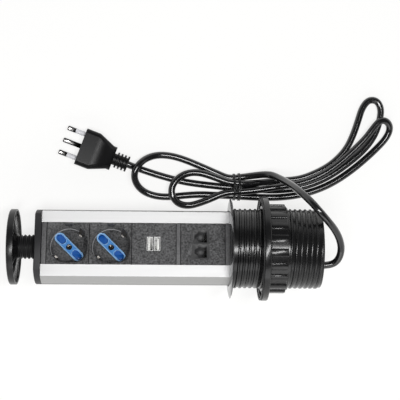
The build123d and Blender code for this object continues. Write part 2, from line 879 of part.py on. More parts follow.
def friction_ring():
    outer = collar_bore + brake_groove - press_gap
    return ring(brake_x + press_gap, brake_x + brake_width - press_gap, outer, tower_radius + grip_gap)


def slip_ring():
    x1, inset = nut_front_x - seat_gap, slip_ring_inset
    return ring(x1 - slip_ring_thickness, x1, rim_radius - inset, rim_inner_radius + inset)


def ring_nut():
    nut = lathe((nut_front_x, nut_bore), (nut_core_end_x, nut_bore), (nut_core_end_x, nut_core_radius),
                (grip_end_x, nut_core_radius), (grip_end_x, grip_radius), (nut_back_x, grip_radius),
                (rim_end_x, rim_radius), (nut_front_x, rim_radius), (nut_front_x, rim_inner_radius),
                (rim_end_x - nut_disc, rim_inner_radius), (nut_back_x - nut_disc, grip_root_radius),
                (nut_front_x, grip_root_radius))
    start, end, half = nut_front_x + nut_web_set_back, nut_back_x - nut_disc / 2, nut_web_thickness / 2
    for i in range(nut_web_count):
        web = block(start, end, -half, half, nut_core_radius, rim_inner_radius + nut_disc / 2)
        nut += Rot(360 / nut_web_count * i, 0, 0) * web
    half = pi * grip_radius / grip_count * grip_groove_share
    end, outer = grip_end_x + overrun, grip_radius + overrun
    for i in range(grip_count):
        groove = block(nut_back_x, end, -half, half, grip_root_radius, outer)
        nut -= Rot(360 / grip_count * (i + 1 / 2), 0, 0) * groove
    return nut


# Route of the mains lead on the table, in the part's own frame, chosen by eye from the photograph
lead_corners = [(171.2, -11.0, 56.4), (173.2, -0.5, 62.0), (169.6, 10.5, 69.5), (162.5, 20.5, 78.0),
                (153.8, 29.0, 85.5), (145.2, 38.0, 89.0), (137.2, 47.5, 84.6), (130.5, 55.5, 73.0),
                (125.3, 62.0, 57.5), (120.6, 67.0, 41.5), (114.6, 71.5, 27.0), (106.5, 75.6, 15.2)]
hank_corners = [(82.5, 72.2, 5.2), (67.2, 70.0, 5.0), (54.5, 75.3, 3.8), (36.7, 82.9, 3.8),
                (19.9, 89.6, 3.8), (6.5, 93.2, 3.8), (-7.0, 94.0, 4.4), (-19.0, 90.4, 8.6),
                (-28.2, 82.8, 14.6),
                (-32.0, 73.5, 13.8), (-29.5, 63.6, 9.0), (-21.5, 55.6, 4.7), (-9.0, 51.2, 3.8),
                (5.5, 50.5, 3.8), (20.3, 52.4, 3.8), (37.0, 53.6, 3.8), (53.0, 53.0, 3.8), (67.0, 52.5, 5.0),
                (81.5, 51.7, 5.0), (98.0, 50.9, 3.8), (119.0, 50.7, 3.8), (141.0, 53.5, 3.8),
                (160.3, 59.0, 3.8), (178.2, 67.3, 3.8), (196.0, 79.3, 3.8), (212.8, 94.0, 3.8),
                (225.6, 106.4, 4.0), (231.8, 113.6, 4.6), (235.8, 121.2, 6.0), (235.2, 128.0, 9.0),
                (230.2, 132.7, 11.7), (223.5, 132.2, 12.3), (217.6, 125.3, 12.1), (208.8, 113.2, 11.8),
                (196.0, 100.4, 11.2), (179.0, 84.9, 10.9), (160.0, 72.9, 10.9), (141.0, 65.8, 10.9),
                (118.0, 62.0, 12.0), (98.0, 58.8, 12.2), (82.0, 56.9, 12.4), (66.5, 56.1, 12.1),
                (57.0, 53.6, 11.9), (47.5, 49.2, 11.2), (36.7, 44.8, 8.6), (25.5, 41.6, 7.4),
                (15.5, 43.0, 8.8), (8.8, 49.0, 11.8), (6.3, 57.4, 11.8), (9.3, 66.0, 12.0),
                (17.2, 73.0, 10.6), (27.0, 76.2, 9.4), (38.0, 75.7, 9.9), (52.6, 70.9, 11.0),
                (65.6, 66.0, 11.9), (81.0, 64.7, 11.7), (92.5, 65.6, 9.0), (105.0, 67.2, 4.9),
                (120.0, 68.6, 3.8), (141.0, 70.2, 3.8), (160.0, 77.6, 3.8), (176.5, 87.4, 3.8),
                (190.5, 102.0, 3.8), (198.0, 118.0, 3.8), (202.8, 132.6, 3.8), (206.8, 145.8, 3.8),
                (213.6, 154.6, 3.8), (222.8, 154.0, 3.8), (227.4, 145.5, 3.8), (226.0, 133.0, 3.8),
                (221.8, 120.0, 3.8), (214.6, 108.2, 3.8), (204.2, 97.2, 3.8), (191.2, 86.6, 3.8),
                (175.6, 76.2, 3.8), (160.0, 68.1, 3.8), (141.0, 61.5, 3.8), (118.0, 58.6, 3.8),
                (98.0, 59.0, 4.0), (82.0, 60.0, 5.0), (66.0, 61.2, 5.0)]
tail_corners = [(28.0, 65.0, 3.8), (10.5, 68.5, 3.8), (-6.0, 72.9, 3.8), (-16.8, 76.3, 3.8),
                (-26.2, 79.3, 4.0), (-34.6, 82.25, 8.3)]


def between(a, b, share=1 / 2):
    return tuple(p + (q - p) * share for p, q in zip(a, b))


def turn_angle(a, b, c):
    first = [q - p for p, q in zip(a, b)]
    second = [q - p for p, q in zip(b, c)]
    return Vector(*first).get_angle(Vector(*second))


def arc_radii(points):
    # an arc at each corner that takes a fixed share of the shorter run beside it
    radii = []
    for a, b, c in zip(points[:-2], points[1:-1], points[2:]):
        shorter = min(dist(a, b), dist(b, c))
        radii.append(cord_arc_share * shorter / tan(radians(turn_angle(a, b, c)) / 2))
    return radii


def cord_path(points):
    return FilletPolyline(*points, radius=arc_radii(points))


def cord_tube(path):
    return sweep(Plane(origin=path @ 0, z_dir=path % 0) * Circle(cord_diameter / 2), path)


def path_places(path):
    count = int(path.length / cord_sample)
    return [tuple(path @ (i / count)) for i in range(count + 1)]


def least_gap(places):
    # the least free space between two stretches of the cord that are not the same stretch
    skip = int(cord_diameter * cord_guard_share / cord_sample)
    reach = cord_diameter * 2
    nearest = min(dist(a, b) for i, a in enumerate(places) for b in places[i + skip:]
                  if abs(a[0] - b[0]) < reach and abs(a[1] - b[1]) < reach)
    return nearest - cord_diameter


def strands_at(x):
    # where the hank's strands pass through the plane of one turn of the tie
    found = []
    for a, b in zip(hank_places[:-1], hank_places[1:]):
        if (a[0] - x) * (b[0] - x) <= 0 and a != b:
            found.append(between(a, b, (x - a[0]) / (b[0] - a[0]))[1:])
    return found


def hull(points):
    ordered = sorted(points)

    def half(run):
        kept = []
        for p in run:
            while len(kept) > 1 and turning(kept[-2], kept[-1], p) <= 0:
                kept.pop()
            kept.append(p)
        return kept[:-1]

    return half(ordered) + half(ordered[::-1])


def turning(a, b, c):
    return (b[0] - a[0]) * (c[1] - a[1]) - (b[1] - a[1]) * (c[0] - a[0])


def tie_outline(strands, radius):
    # a taut loop round circles of one radius at the strands
    steps = tie_loop_points
    rim = [(y + radius * cos(2 * pi * i / steps), z + radius * sin(2 * pi * i / steps))
           for y, z in strands for i in range(steps)]
    return Plane.YZ * make_face(Polyline(*hull(rim), close=True))


def hank_tie():
    # two turns of a twist tie round the five strands, with its twisted ends on top
    reach = cord_diameter / 2 + tie_gap
    tie = None
    for x in tie_places:
        strands = strands_at(x)
        loop = tie_outline(strands, reach + tie_thickness) - tie_outline(strands, reach)
        band = Pos(x - tie_width / 2, 0, 0) * extrude(loop, tie_width)
        tie = band if tie is None else tie + band
    crown = sorted(strands_at(tie_places[1]), key=lambda s: s[1])[-2:]
    high = min(z for y, z in crown) + reach + tie_thickness / 2
    middle = sum(y for y, z in crown) / 2
    tie += rod(tie_places[0], tie_places[1], tie_thickness, middle, high)
    ends = Pos(0, 0, tie_knot_length / 2) * Cylinder(tie_knot_radius, tie_knot_length)
    tie += Pos(tie_places[1], middle, high) * Rot(0, 90 - tie_knot_tilt, 0) * ends
    return tie


def plug_place(shape):
    # plug pieces are drawn with their pins along +X and the cord end of the sleeve at x = 0
    x, y, z = plug_start
    return Pos(x, y, z) * Rot(0, 0, plug_heading) * shape


def plug_relief():
    # ribbed sleeve on the cord, bored for the cord's end
    bore = cord_diameter / 2 + press_gap
    outline = [(0, bore)]
    for i in range(relief_ring_count):
        x = relief_ring_pitch * i
        end = x + relief_ring_width
        outline += [(x, relief_ring_radius), (end, relief_ring_radius), (end, relief_core_radius)]
        if i < relief_ring_count - 1:
            outline.append((x + relief_ring_pitch, relief_core_radius))
    outline += [(relief_length, relief_core_radius), (relief_length, 0), (tail_insertion + press_gap, 0),
                (tail_insertion + press_gap, bore)]
    return plug_place(lathe(*outline))


def plug_body():
    # straight sides behind the pin face, then a taper to the neck, which ends in a thick disc
    x0, x3 = relief_length, relief_length + plug_length
    x1, x2 = x0 + plug_disc_length, x3 - plug_straight
    neck, half = plug_neck_width / 2, plug_width / 2
    start = x1 - plug_disc_length / 2
    corners = ((start, -neck), (x2, -half), (x3, -half), (x3, half), (x2, half), (start, neck))
    body = extrude(make_face(Polyline(*corners, close=True)), plug_thickness / 2, both=True)
    low, high = start + overrun, x3 - overrun
    body = fillet(body.edges().filter_by(Axis.Z).filter_by(lambda e: low < e.center().X < high), plug_corner)
    body = fillet(body.edges().filter_by(lambda e: low < e.center().X < high), plug_round)
    disc = Pos(x0, 0, 0) * Rot(0, 90, 0) * extrude(
        RectangleRounded(plug_disc_height, plug_disc_width, plug_disc_corner), plug_disc_length)
    body += disc
    for lane in (-1, 0, 1):
        body -= rod(x3 - plug_pin_root, x3 + overrun, plug_pin_core + press_gap, lane * plug_pin_spacing)
    return plug_place(body)


def plug_pins():
    # the roots are thinner than the pins; the outer pins stay thin under their sleeves
    face = relief_length + plug_length
    group = []
    for lane in (-1, 0, 1):
        y = lane * plug_pin_spacing
        bare_x = face + plug_sleeve_length if lane else face
        tip = rod(bare_x, face + plug_pin_length, plug_pin_radius, y)
        tip = fillet(tip.faces().sort_by(Axis.X)[-1].edges(), plug_pin_nose)
        pin = tip + rod(face - plug_pin_root, bare_x, plug_pin_core, y)
        group.append(plug_place(pin).solid())
    return Compound(group)


def plug_sleeves():
    face = relief_length + plug_length
    group = []
    for lane in (-1, 1):
        y = lane * plug_pin_spacing
        sleeve = rod(face + press_gap, face + plug_sleeve_length - press_gap, plug_pin_radius, y)
        sleeve -= rod(face - overrun, face + plug_sleeve_length + overrun, plug_pin_core + press_gap, y)
        group.append(plug_place(sleeve).solid())
    return Compound(group)


tower_pieces = {
    "flange_ring": flange_ring(),
    "flange_gasket": flange_gasket(),
    "threaded_collar": threaded_collar(),
    "friction_ring": friction_ring(),
    "slip_ring": slip_ring(),
    "ring_nut": ring_nut(),
    "tower_extrusion": tower_extrusion(),
    "top_end_plate": top_end_plate(),
    "top_plate_screws": plate_screws(end_plate_x, 1),
    "pull_cap": pull_cap(),
    "cap_stem": cap_stem(),
    "stem_clip": stem_clip(),
    "neck_bellows": neck_bellows(),
    "cap_spring": cap_spring(),
    "module_channel": module_channel(),
    "top_strip": face_blank(module_starts[0], strip_length),
    "usb_module": usb_module(),
    "usb_shells": usb_shells(),
    "usb_tongues": usb_tongues(),
    "usb_board": usb_board(),
    "spacer_strip": face_blank(module_starts[4], spacer_length),
    "network_module": network_module(),
    "jack_housings": jack_housings(),
    "jack_contacts": jack_contacts(),
    "end_strip": face_blank(module_starts[6], end_strip_length),
    "cover_strip": cover_strip(),
    "supply_board": supply_board(),
    "supply_parts": supply_parts(),
    "wire_line": inner_wire(-1),
    "wire_earth": inner_wire(0),
    "wire_neutral": inner_wire(1),
    "bottom_end_cap": bottom_end_cap(),
    "bottom_cap_screws": plate_screws(tower_end_x + stop_thickness, -1),
    "cord_bush": cord_bush(),
    "inner_sheath": inner_sheath(),
    "cord_saddle": cord_saddle(),
}
for number, (start, centre) in enumerate(zip(module_starts[1:3], socket_centres()), 1):
    tower_pieces[f"socket_{number}_body"] = socket_body(start, centre)
    tower_pieces[f"socket_{number}_insert"] = socket_insert(centre)
    tower_pieces[f"socket_{number}_shutter"] = socket_shutter(centre)
    tower_pieces[f"socket_{number}_contacts"] = socket_contacts(centre)
    tower_pieces[f"socket_{number}_earth_clips"] = earth_clips(centre)


def turned_down(shape):
    return shape.rotate(Axis.X, -face_roll).rotate(Axis.Y, -lie_angle)


# Laid on the table, with the origin under the middle of the box of the pieces without the cord
laid = {name: turned_down(shape) for name, shape in tower_pieces.items()}
boxes = [shape.bounding_box() for shape in laid.values()]
low_corner = [min(getattr(box.min, axis) for box in boxes) for axis in "XYZ"]
high_corner = [max(getattr(box.max, axis) for box in boxes) for axis in "XYZ"]
shift = Vector(-(low_corner[0] + high_corner[0]) / 2, -(low_corner[1] + high_corner[1]) / 2, -low_corner[2])
pieces = {name: Location(shift) * shape for name, shape in laid.items()}


def on_table(x, y, z):
    # where a point of the tower lies once the tower is on the table
    point = Vector(x, y, z).rotate(Axis.X, -face_roll).rotate(Axis.Y, -lie_angle) + shift
    return tuple(point)


lead_ends = [on_table(gland_face_x + along, cord_y, cord_z) for along in (0, cord_end_run)]
lead_join = between(lead_corners[-1], hank_corners[0])
tail_join = between(hank_corners[-1], tail_corners[0])
plug_way = (cos(radians(plug_heading)), sin(radians(plug_heading)), 0)
tail_turn = tail_corners[-1]
plug_start = tuple(c + w * (tail_end_run - tail_insertion) for c, w in zip(tail_turn, plug_way))
tail_end = tuple(c + w * tail_end_run for c, w in zip(tail_turn, plug_way))

lead_path = cord_path([*lead_ends, *lead_corners, lead_join])
hank_path = cord_path([lead_join, *hank_corners, tail_join])
tail_path = cord_path([tail_join, *tail_corners, tail_end])
hank_places = path_places(hank_path)
pieces["lead_cord"] = cord_tube(lead_path)
pieces["cord_hank"] = cord_tube(hank_path)
pieces["plug_tail"] = cord_tube(tail_path)
pieces["hank_tie"] = hank_tie()
pieces["plug_relief"] = plug_relief()
pieces["plug_body"] = plug_body()
pieces["plug_pins"] = plug_pins()
pieces["plug_sleeves"] = plug_sleeves()

os.makedirs("parts", exist_ok=True)
for name, shape in pieces.items():
    export_step(shape, f"parts/{name}.step")

section = pi * (cord_diameter / 2) ** 2
for name, path in (("lead_cord", lead_path), ("cord_hank", hank_path), ("plug_tail", tail_path)):
    share = round(pieces[name].volume / (section * path.length), 4)
    print(name, "radius", cord_diameter / 2, "length", round(path.length, 1), "volume share", share)
cord_places = path_places(lead_path) + path_places(hank_path)[1:] + path_places(tail_path)[1:]
print("least gap of the cord to itself", round(least_gap(cord_places), 3))
print("cord length", round(lead_path.length + hank_path.length + tail_path.length, 1))
print("shift", [round(c, 3) for c in shift], "lie angle", round(lie_angle, 4))
print("cord exit", [round(c, 3) for c in lead_ends[0]], "plug start", [round(c, 3) for c in plug_start])
for name, shape in pieces.items():
    box = shape.bounding_box()
    print(name, "solids", len(shape.solids()), "volume", round(shape.volume, 1),
          "low", [round(c, 2) for c in box.min], "high", [round(c, 2) for c in box.max])
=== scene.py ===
import json
from math import atan2, cos, hypot, pi, radians, sin

import bmesh
import bpy
from bpy.props import FloatProperty, FloatVectorProperty, IntProperty, PointerProperty
from mathutils import Matrix, Vector


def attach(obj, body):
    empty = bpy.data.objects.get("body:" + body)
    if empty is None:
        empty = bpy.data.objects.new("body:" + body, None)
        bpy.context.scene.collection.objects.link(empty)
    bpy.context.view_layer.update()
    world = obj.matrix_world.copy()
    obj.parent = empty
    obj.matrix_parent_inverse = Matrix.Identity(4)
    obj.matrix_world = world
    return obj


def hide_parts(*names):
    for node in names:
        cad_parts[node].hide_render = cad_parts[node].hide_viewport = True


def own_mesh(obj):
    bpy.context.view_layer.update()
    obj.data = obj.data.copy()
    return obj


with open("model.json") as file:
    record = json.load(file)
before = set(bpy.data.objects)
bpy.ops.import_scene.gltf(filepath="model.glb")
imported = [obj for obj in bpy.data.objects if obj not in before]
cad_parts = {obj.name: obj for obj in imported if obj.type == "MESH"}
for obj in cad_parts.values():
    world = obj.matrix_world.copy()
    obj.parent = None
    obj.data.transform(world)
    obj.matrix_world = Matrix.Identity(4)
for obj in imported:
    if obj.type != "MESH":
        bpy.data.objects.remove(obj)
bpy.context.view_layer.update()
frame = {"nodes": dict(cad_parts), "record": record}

bl_info = {
    "name": "Pop up desk socket",
    "version": (1, 0, 0),
    "blender": (4, 5, 0),
    "location": "3D View > Sidebar > Desk socket",
    "description": "Builds a pop up desk socket on its side, with its tied mains lead",
    "category": "Object",
}

MM = 0.001

# The tower's own frame: x along the tower from the underside of the flange, z out of the socket face
FACE_ROLL = radians(-15.4)
LIE_ANGLE = radians(-3.34)
TOWER = (Matrix.Translation((0.063199, 0.0, 0.049973)) @ Matrix.Rotation(LIE_ANGLE, 4, "Y")
         @ Matrix.Rotation(FACE_ROLL, 4, "X"))

# The mains lead's route on the table, in metres
LEAD_ROUTE = [
    (0.155204, -0.01632, 0.052573), (0.163989, -0.01632, 0.053086), (0.1712, -0.0110, 0.0564),
    (0.1732, -0.0005, 0.0620), (0.1696, 0.0105, 0.0695), (0.1625, 0.0205, 0.0780), (0.1538, 0.0290, 0.0855),
    (0.1452, 0.0380, 0.0890), (0.1372, 0.0475, 0.0846), (0.1305, 0.0555, 0.0730), (0.1253, 0.0620, 0.0575),
    (0.1206, 0.0670, 0.0415), (0.1146, 0.0715, 0.0270), (0.1065, 0.0756, 0.0152)]
HANK_ROUTE = [
    (0.0825, 0.0722, 0.0052), (0.0672, 0.0700, 0.0050), (0.0545, 0.0753, 0.0038), (0.0367, 0.0829, 0.0038),
    (0.0199, 0.0896, 0.0038), (0.0065, 0.0932, 0.0038), (-0.0070, 0.0940, 0.0044), (-0.0190, 0.0904, 0.0086),
    (-0.0282, 0.0828, 0.0146), (-0.0320, 0.0735, 0.0138), (-0.0295, 0.0636, 0.0090), (-0.0215, 0.0556, 0.0047),
    (-0.0090, 0.0512, 0.0038), (0.0055, 0.0505, 0.0038), (0.0203, 0.0524, 0.0038), (0.0370, 0.0536, 0.0038),
    (0.0530, 0.0530, 0.0038), (0.0670, 0.0525, 0.0050), (0.0815, 0.0517, 0.0050), (0.0980, 0.0511, 0.0038),
    (0.1190, 0.0510, 0.0038), (0.1410, 0.0538, 0.0038), (0.1601, 0.0594, 0.0038), (0.1779, 0.0677, 0.0038),
    (0.1957, 0.0797, 0.0038), (0.2128, 0.0940, 0.0038), (0.2256, 0.1064, 0.0040), (0.2318, 0.1136, 0.0046),
    (0.2358, 0.1212, 0.0060), (0.2352, 0.1280, 0.0090), (0.2302, 0.1327, 0.0117), (0.2235, 0.1322, 0.0123),
    (0.2176, 0.1253, 0.0121), (0.2088, 0.1132, 0.0118), (0.1960, 0.1004, 0.0112), (0.1790, 0.0849, 0.0109),
    (0.1600, 0.0729, 0.0109), (0.1410, 0.0658, 0.0109), (0.1180, 0.0620, 0.0120), (0.0980, 0.0588, 0.0122),
    (0.0820, 0.0569, 0.0124), (0.0665, 0.0561, 0.0121), (0.0570, 0.0536, 0.0119), (0.0475, 0.0492, 0.0112),
    (0.0367, 0.0448, 0.0086), (0.0255, 0.0416, 0.0074), (0.0155, 0.0430, 0.0088), (0.0088, 0.0490, 0.0118),
    (0.0063, 0.0574, 0.0118), (0.0093, 0.0660, 0.0120), (0.0172, 0.0730, 0.0106), (0.0270, 0.0762, 0.0094),
    (0.0380, 0.0757, 0.0099), (0.0526, 0.0709, 0.0110), (0.0656, 0.0660, 0.0119), (0.0810, 0.0647, 0.0117),
    (0.0925, 0.0656, 0.0090), (0.1050, 0.0672, 0.0049), (0.1200, 0.0686, 0.0038), (0.1410, 0.0702, 0.0038),
    (0.1600, 0.0776, 0.0038), (0.1765, 0.0874, 0.0038), (0.1905, 0.1020, 0.0038), (0.1980, 0.1180, 0.0038),
    (0.2028, 0.1326, 0.0038), (0.2068, 0.1458, 0.0038), (0.2136, 0.1546, 0.0038), (0.2228, 0.1540, 0.0038),
    (0.2274, 0.1455, 0.0038), (0.2260, 0.1330, 0.0038), (0.2218, 0.1200, 0.0038), (0.2146, 0.1082, 0.0038),
    (0.2042, 0.0972, 0.0038), (0.1912, 0.0866, 0.0038), (0.1758, 0.0758, 0.0038), (0.1602, 0.0677, 0.0038),
    (0.1410, 0.0613, 0.0038), (0.1180, 0.0586, 0.0038), (0.0980, 0.0590, 0.0040), (0.0820, 0.0600, 0.0050),
    (0.0660, 0.0612, 0.0050)]
TAIL_ROUTE = [
    (0.0280, 0.0650, 0.0038), (0.0105, 0.0685, 0.0038), (-0.0060, 0.0729, 0.0038), (-0.0168, 0.0763, 0.0038),
    (-0.0262, 0.0793, 0.0040), (-0.0346, 0.08225, 0.0083), (-0.042843, 0.085332, 0.0083)]

# Heights, places, radii and turns that several pieces share, in the tower's own frame
FACE_TOP = 0.0172
FLAT_FOOT = 0.01725
RECESS_DEPTH = 0.0175
RECESS_RADIUS = 0.0195
COLLAR_BORE = 0.0378
SOCKET_CENTRES = (-0.15965, -0.11815)
OVAL_TURN = radians(135)
PLUG_HEADING = radians(159.5)
SLEEVE_LENGTH = 0.0158

# Pieces that keep the CAD shape, merged smooth, with their finish
EASED = {
    "tower_extrusion": "silver", "top_end_plate": "end plate", "bottom_end_cap": "black", "pull_cap": "cap",
    "slip_ring": "black", "flange_gasket": "rubber", "friction_ring": "felt", "module_channel": "black",
    "top_strip": "strip", "spacer_strip": "strip", "end_strip": "strip", "socket_1_body": "face",
    "socket_2_body": "face", "usb_module": "face", "network_module": "face", "jack_housings": "jack",
    "socket_1_insert": "blue", "socket_2_insert": "blue", "socket_1_shutter": "shaded blue",
    "socket_2_shutter": "shaded blue", "socket_1_earth_clips": "shaded strip",
    "socket_2_earth_clips": "shaded strip", "usb_shells": "nickel", "usb_tongues": "white tongue",
    "top_plate_screws": "screw", "bottom_cap_screws": "screw", "cord_bush": "rubber", "plug_pins": "pin",
    "plug_sleeves": "pin sleeve", "cap_stem": "spring steel", "plug_body": "plug", "jack_contacts": "jack wire"}

# The ones whose edges are eased, and by how many millimetres
EDGE_WIDTHS = {
    "pull_cap": 0.35, "slip_ring": 0.15, "top_strip": 0.12, "spacer_strip": 0.12, "end_strip": 0.12,
    "socket_1_earth_clips": 0.06, "socket_2_earth_clips": 0.06, "usb_tongues": 0.05}

# Hidden pieces that show the CAD solid itself
PLAIN = {
    "stem_clip": "spring steel", "usb_board": "circuit board", "supply_board": "circuit board",
    "supply_parts": "coil", "wire_line": "brown wire", "wire_earth": "green wire", "wire_neutral": "blue wire",
    "inner_sheath": "cord", "cord_saddle": "black", "cover_strip": "black"}


class CordSizes(bpy.types.PropertyGroup):
    diameter: FloatProperty(
        name="Cord diameter", description="Thickness of the mains lead's sheath", default=0.0072, unit="LENGTH")
    length: FloatProperty(
        name="Cord length", description="Real length from the bush to the plug", default=1.51, unit="LENGTH")
    colour: FloatVectorProperty(
        name="Sheath colour", description="Colour of the cord's sheath", size=3, subtype="COLOR",
        default=(0.006, 0.006, 0.0065))


class CollarSizes(bpy.types.PropertyGroup):
    crest: FloatProperty(name="Crest radius", description="Radius over the thread", default=0.0396, unit="LENGTH")
    root: FloatProperty(
        name="Root radius", description="Radius at the foot of the thread", default=0.0385, unit="LENGTH")
    pitch: FloatProperty(
        name="Crest spacing", description="Distance from crest to crest", default=0.005, unit="LENGTH")
    starts: IntProperty(name="Thread starts", description="Number of threads side by side", default=2)
    length: FloatProperty(
        name="Collar length", description="From the flange to the open end", default=0.089, unit="LENGTH")


class NutSizes(bpy.types.PropertyGroup):
    grips: IntProperty(name="Grips", description="Ribs round the barrel of the ring nut", default=20)
    webs: IntProperty(name="Webs", description="Webs in the dish of the ring nut", default=20)
    front: FloatProperty(
        name="Rim front", description="From the flange to the front of the rim", default=0.0306, unit="LENGTH")
    radius: FloatProperty(name="Rim radius", description="Radius over the rim", default=0.05175, unit="LENGTH")


class BellowsSizes(bpy.types.PropertyGroup):
    folds: IntProperty(name="Folds", description="Number of folds in the rubber sleeve", default=4)
    crest: FloatProperty(name="Fold radius", description="Radius over the folds", default=0.0121, unit="LENGTH")
    root: FloatProperty(name="Neck radius", description="Radius between the folds", default=0.0107, unit="LENGTH")
    wall: FloatProperty(name="Wall", description="Thickness of the rubber", default=0.0009, unit="LENGTH")
    coils: FloatProperty(name="Spring coils", description="Turns of the spring inside the sleeve", default=5.4)


class SleeveSizes(bpy.types.PropertyGroup):
    ribs: IntProperty(name="Sleeve ribs", description="Ribs on the cord sleeve of the plug", default=4)
    pitch: FloatProperty(
        name="Rib spacing", description="Distance from rib to rib", default=0.0037, unit="LENGTH")
    crest: FloatProperty(name="Rib radius", description="Radius over the ribs", default=0.0082, unit="LENGTH")
    core: FloatProperty(name="Core radius", description="Radius between the ribs", default=0.0060, unit="LENGTH")


class FinishColours(bpy.types.PropertyGroup):
    face: FloatVectorProperty(
        name="Face", description="Colour of the matt socket face", size=3, subtype="COLOR",
        default=(0.074, 0.074, 0.076))
    mouldings: FloatVectorProperty(
        name="Mouldings", description="Colour of the black mouldings", size=3, subtype="COLOR",
        default=(0.0065, 0.0065, 0.007))
    insert: FloatVectorProperty(
        name="Inserts", description="Colour of the blue socket inserts", size=3, subtype="COLOR",
        default=(0.085, 0.29, 0.69))
    # painted highlight: the edging is a paler copy of the insert blue, where the raised edges catch the light
    edging: FloatVectorProperty(
        name="Insert edging", description="Colour of the raised edges of the inserts", size=3, subtype="COLOR",
        default=(0.30, 0.54, 0.86))
    # painted shade: the shutters are the insert's blue, darkened for the shade down in the holes
    shutter: FloatVectorProperty(
        name="Shutters", description="Colour of the shutters behind the inserts", size=3, subtype="COLOR",
        default=(0.010, 0.105, 0.40))
    # painted light: the flats and flanks are lit and shaded copies of one aluminium colour
    flats: FloatVectorProperty(
        name="Aluminium flats", description="Colour of the extrusion's brushed flats", size=3, subtype="COLOR",
        default=(0.97, 0.97, 0.97))
    flanks: FloatVectorProperty(
        name="Aluminium flanks", description="Colour of the extrusion's round flanks", size=3, subtype="COLOR",
        default=(0.40, 0.40, 0.395))


GROUPS = {"desk_cord": CordSizes, "desk_collar": CollarSizes, "desk_nut": NutSizes, "desk_bellows": BellowsSizes,
          "desk_sleeve": SleeveSizes, "desk_colours": FinishColours}


# Nodes, and the shader groups and materials made of them

def new_node(tree, kind, inputs=None, **settings):
    # a node with its inputs linked or set, by name or number
    item = tree.nodes.new(kind)
    for key, value in settings.items():
        setattr(item, key, value)
    for key, value in (inputs or {}).items():
        if isinstance(value, bpy.types.NodeSocket):
            tree.links.new(value, item.inputs[key])
        else:
            item.inputs[key].default_value = value
    return item


def add(tree, kind, inputs=None, **settings):
    # the first output of a new node
    return new_node(tree, kind, inputs, **settings).outputs[0]


def maths(tree, operation, *values):
    return add(tree, "ShaderNodeMath", dict(enumerate(values)), operation=operation)


def soft_step(tree, value, start, end, low, high):
    # from the low level to the high one while the value climbs from start to end
    levels = {"Value": value, "From Min": start, "From Max": end, "To Min": low, "To Max": high}
    return add(tree, "ShaderNodeMapRange", levels, interpolation_type="SMOOTHSTEP")


def mixed(tree, low, high, factor):
    # a blend of two colours, each of them a socket or a tuple
    ends = [end if isinstance(end, bpy.types.NodeSocket) else (*end, 1.0) for end in (low, high)]
    mix = new_node(tree, "ShaderNodeMix", {"A": ends[0], "B": ends[1], "Factor": factor}, data_type="RGBA")
    return mix.outputs["Result"]


def shade(colour, share):
    return tuple(min(1.0, c * share) for c in colour)


def tower_place(tree, origin=(0.0, 0.0, 0.0)):
    # Object coordinates, turned to lie along the tower
    place = new_node(tree, "ShaderNodeTexCoord").outputs["Object"]
    return add(tree, "ShaderNodeMapping", {"Vector": place, "Location": origin, "Rotation": TOWER.to_euler()},
               vector_type="TEXTURE")


def shared_group(name, inputs, outputs, fill):
    # a shader group of plain numbers, made the first time it is asked for
    if name in bpy.data.node_groups:
        return bpy.data.node_groups[name]
    group = bpy.data.node_groups.new(name, "ShaderNodeTree")
    for label, value in inputs.items():
        group.interface.new_socket(label, in_out="INPUT", socket_type="NodeSocketFloat").default_value = value
    for label in outputs:
        group.interface.new_socket(label, in_out="OUTPUT", socket_type="NodeSocketFloat")
    results = fill(group, new_node(group, "NodeGroupInput").outputs)
    new_node(group, "NodeGroupOutput", dict(zip(outputs, results)))
    return group


def grain_nodes(group, ins):
    # fine spark finish of a moulding: mottled tone, roughness and height
    place = new_node(group, "ShaderNodeTexCoord").outputs["Object"]
    fine = add(group, "ShaderNodeTexNoise", {"Vector": place, "Scale": ins["Scale"], "Detail": 3.0})
    broad = add(group, "ShaderNodeTexNoise", {"Vector": place, "Scale": 55.0, "Detail": 4.0})
    centred = maths(group, "SUBTRACT", fine, 0.5)
    spread = maths(group, "MULTIPLY", centred, ins["Contrast"])
    broad_share = 0.35
    wide = maths(group, "MULTIPLY", maths(group, "SUBTRACT", broad, 0.5), broad_share)
    tone = maths(group, "ADD", maths(group, "ADD", spread, wide), 0.5)
    return tone, maths(group, "ADD", centred, broad), fine


def line_nodes(group, ins):
    # fine lines along the tower, as a die leaves them on an extrusion
    stretched = add(group, "ShaderNodeMapping", {"Vector": tower_place(group), "Scale": (0.03, 1.0, 1.0)})
    noise = add(group, "ShaderNodeTexNoise", {"Vector": stretched, "Scale": ins["Scale"], "Detail": 3.0})
    return noise, noise


def moulded_grain():
    outputs = ("Tone", "Roughness", "Height")
    return shared_group("Moulded grain", {"Scale": 900.0, "Contrast": 0.3}, outputs, grain_nodes)


def drawn_lines():
    return shared_group("Drawn lines", {"Scale": 260.0}, ("Tone", "Height"), line_nodes)


def patterned(name, pattern, values, rough, worn_by, depth):
    # a material whose roughness and bump follow a pattern, with the pattern's tone for the colour to follow
    material = bpy.data.materials.new(name)
    material.use_nodes = True
    tree = material.node_tree
    surface = tree.nodes["Principled BSDF"].inputs
    outs = new_node(tree, "ShaderNodeGroup", values, node_tree=pattern).outputs
    level = maths(tree, "MULTIPLY_ADD", outs[worn_by], rough[1] - rough[0], rough[0])
    tree.links.new(level, surface["Roughness"])
    tree.links.new(add(tree, "ShaderNodeBump", {"Height": outs["Height"], "Distance": depth, "Strength": 1.0}),
                   surface["Normal"])
    return material, tree, surface, outs["Tone"]


def toned(tree, colour, tone, factor):
    return mixed(tree, shade(colour, 1 - tone), shade(colour, 1 + tone), factor)


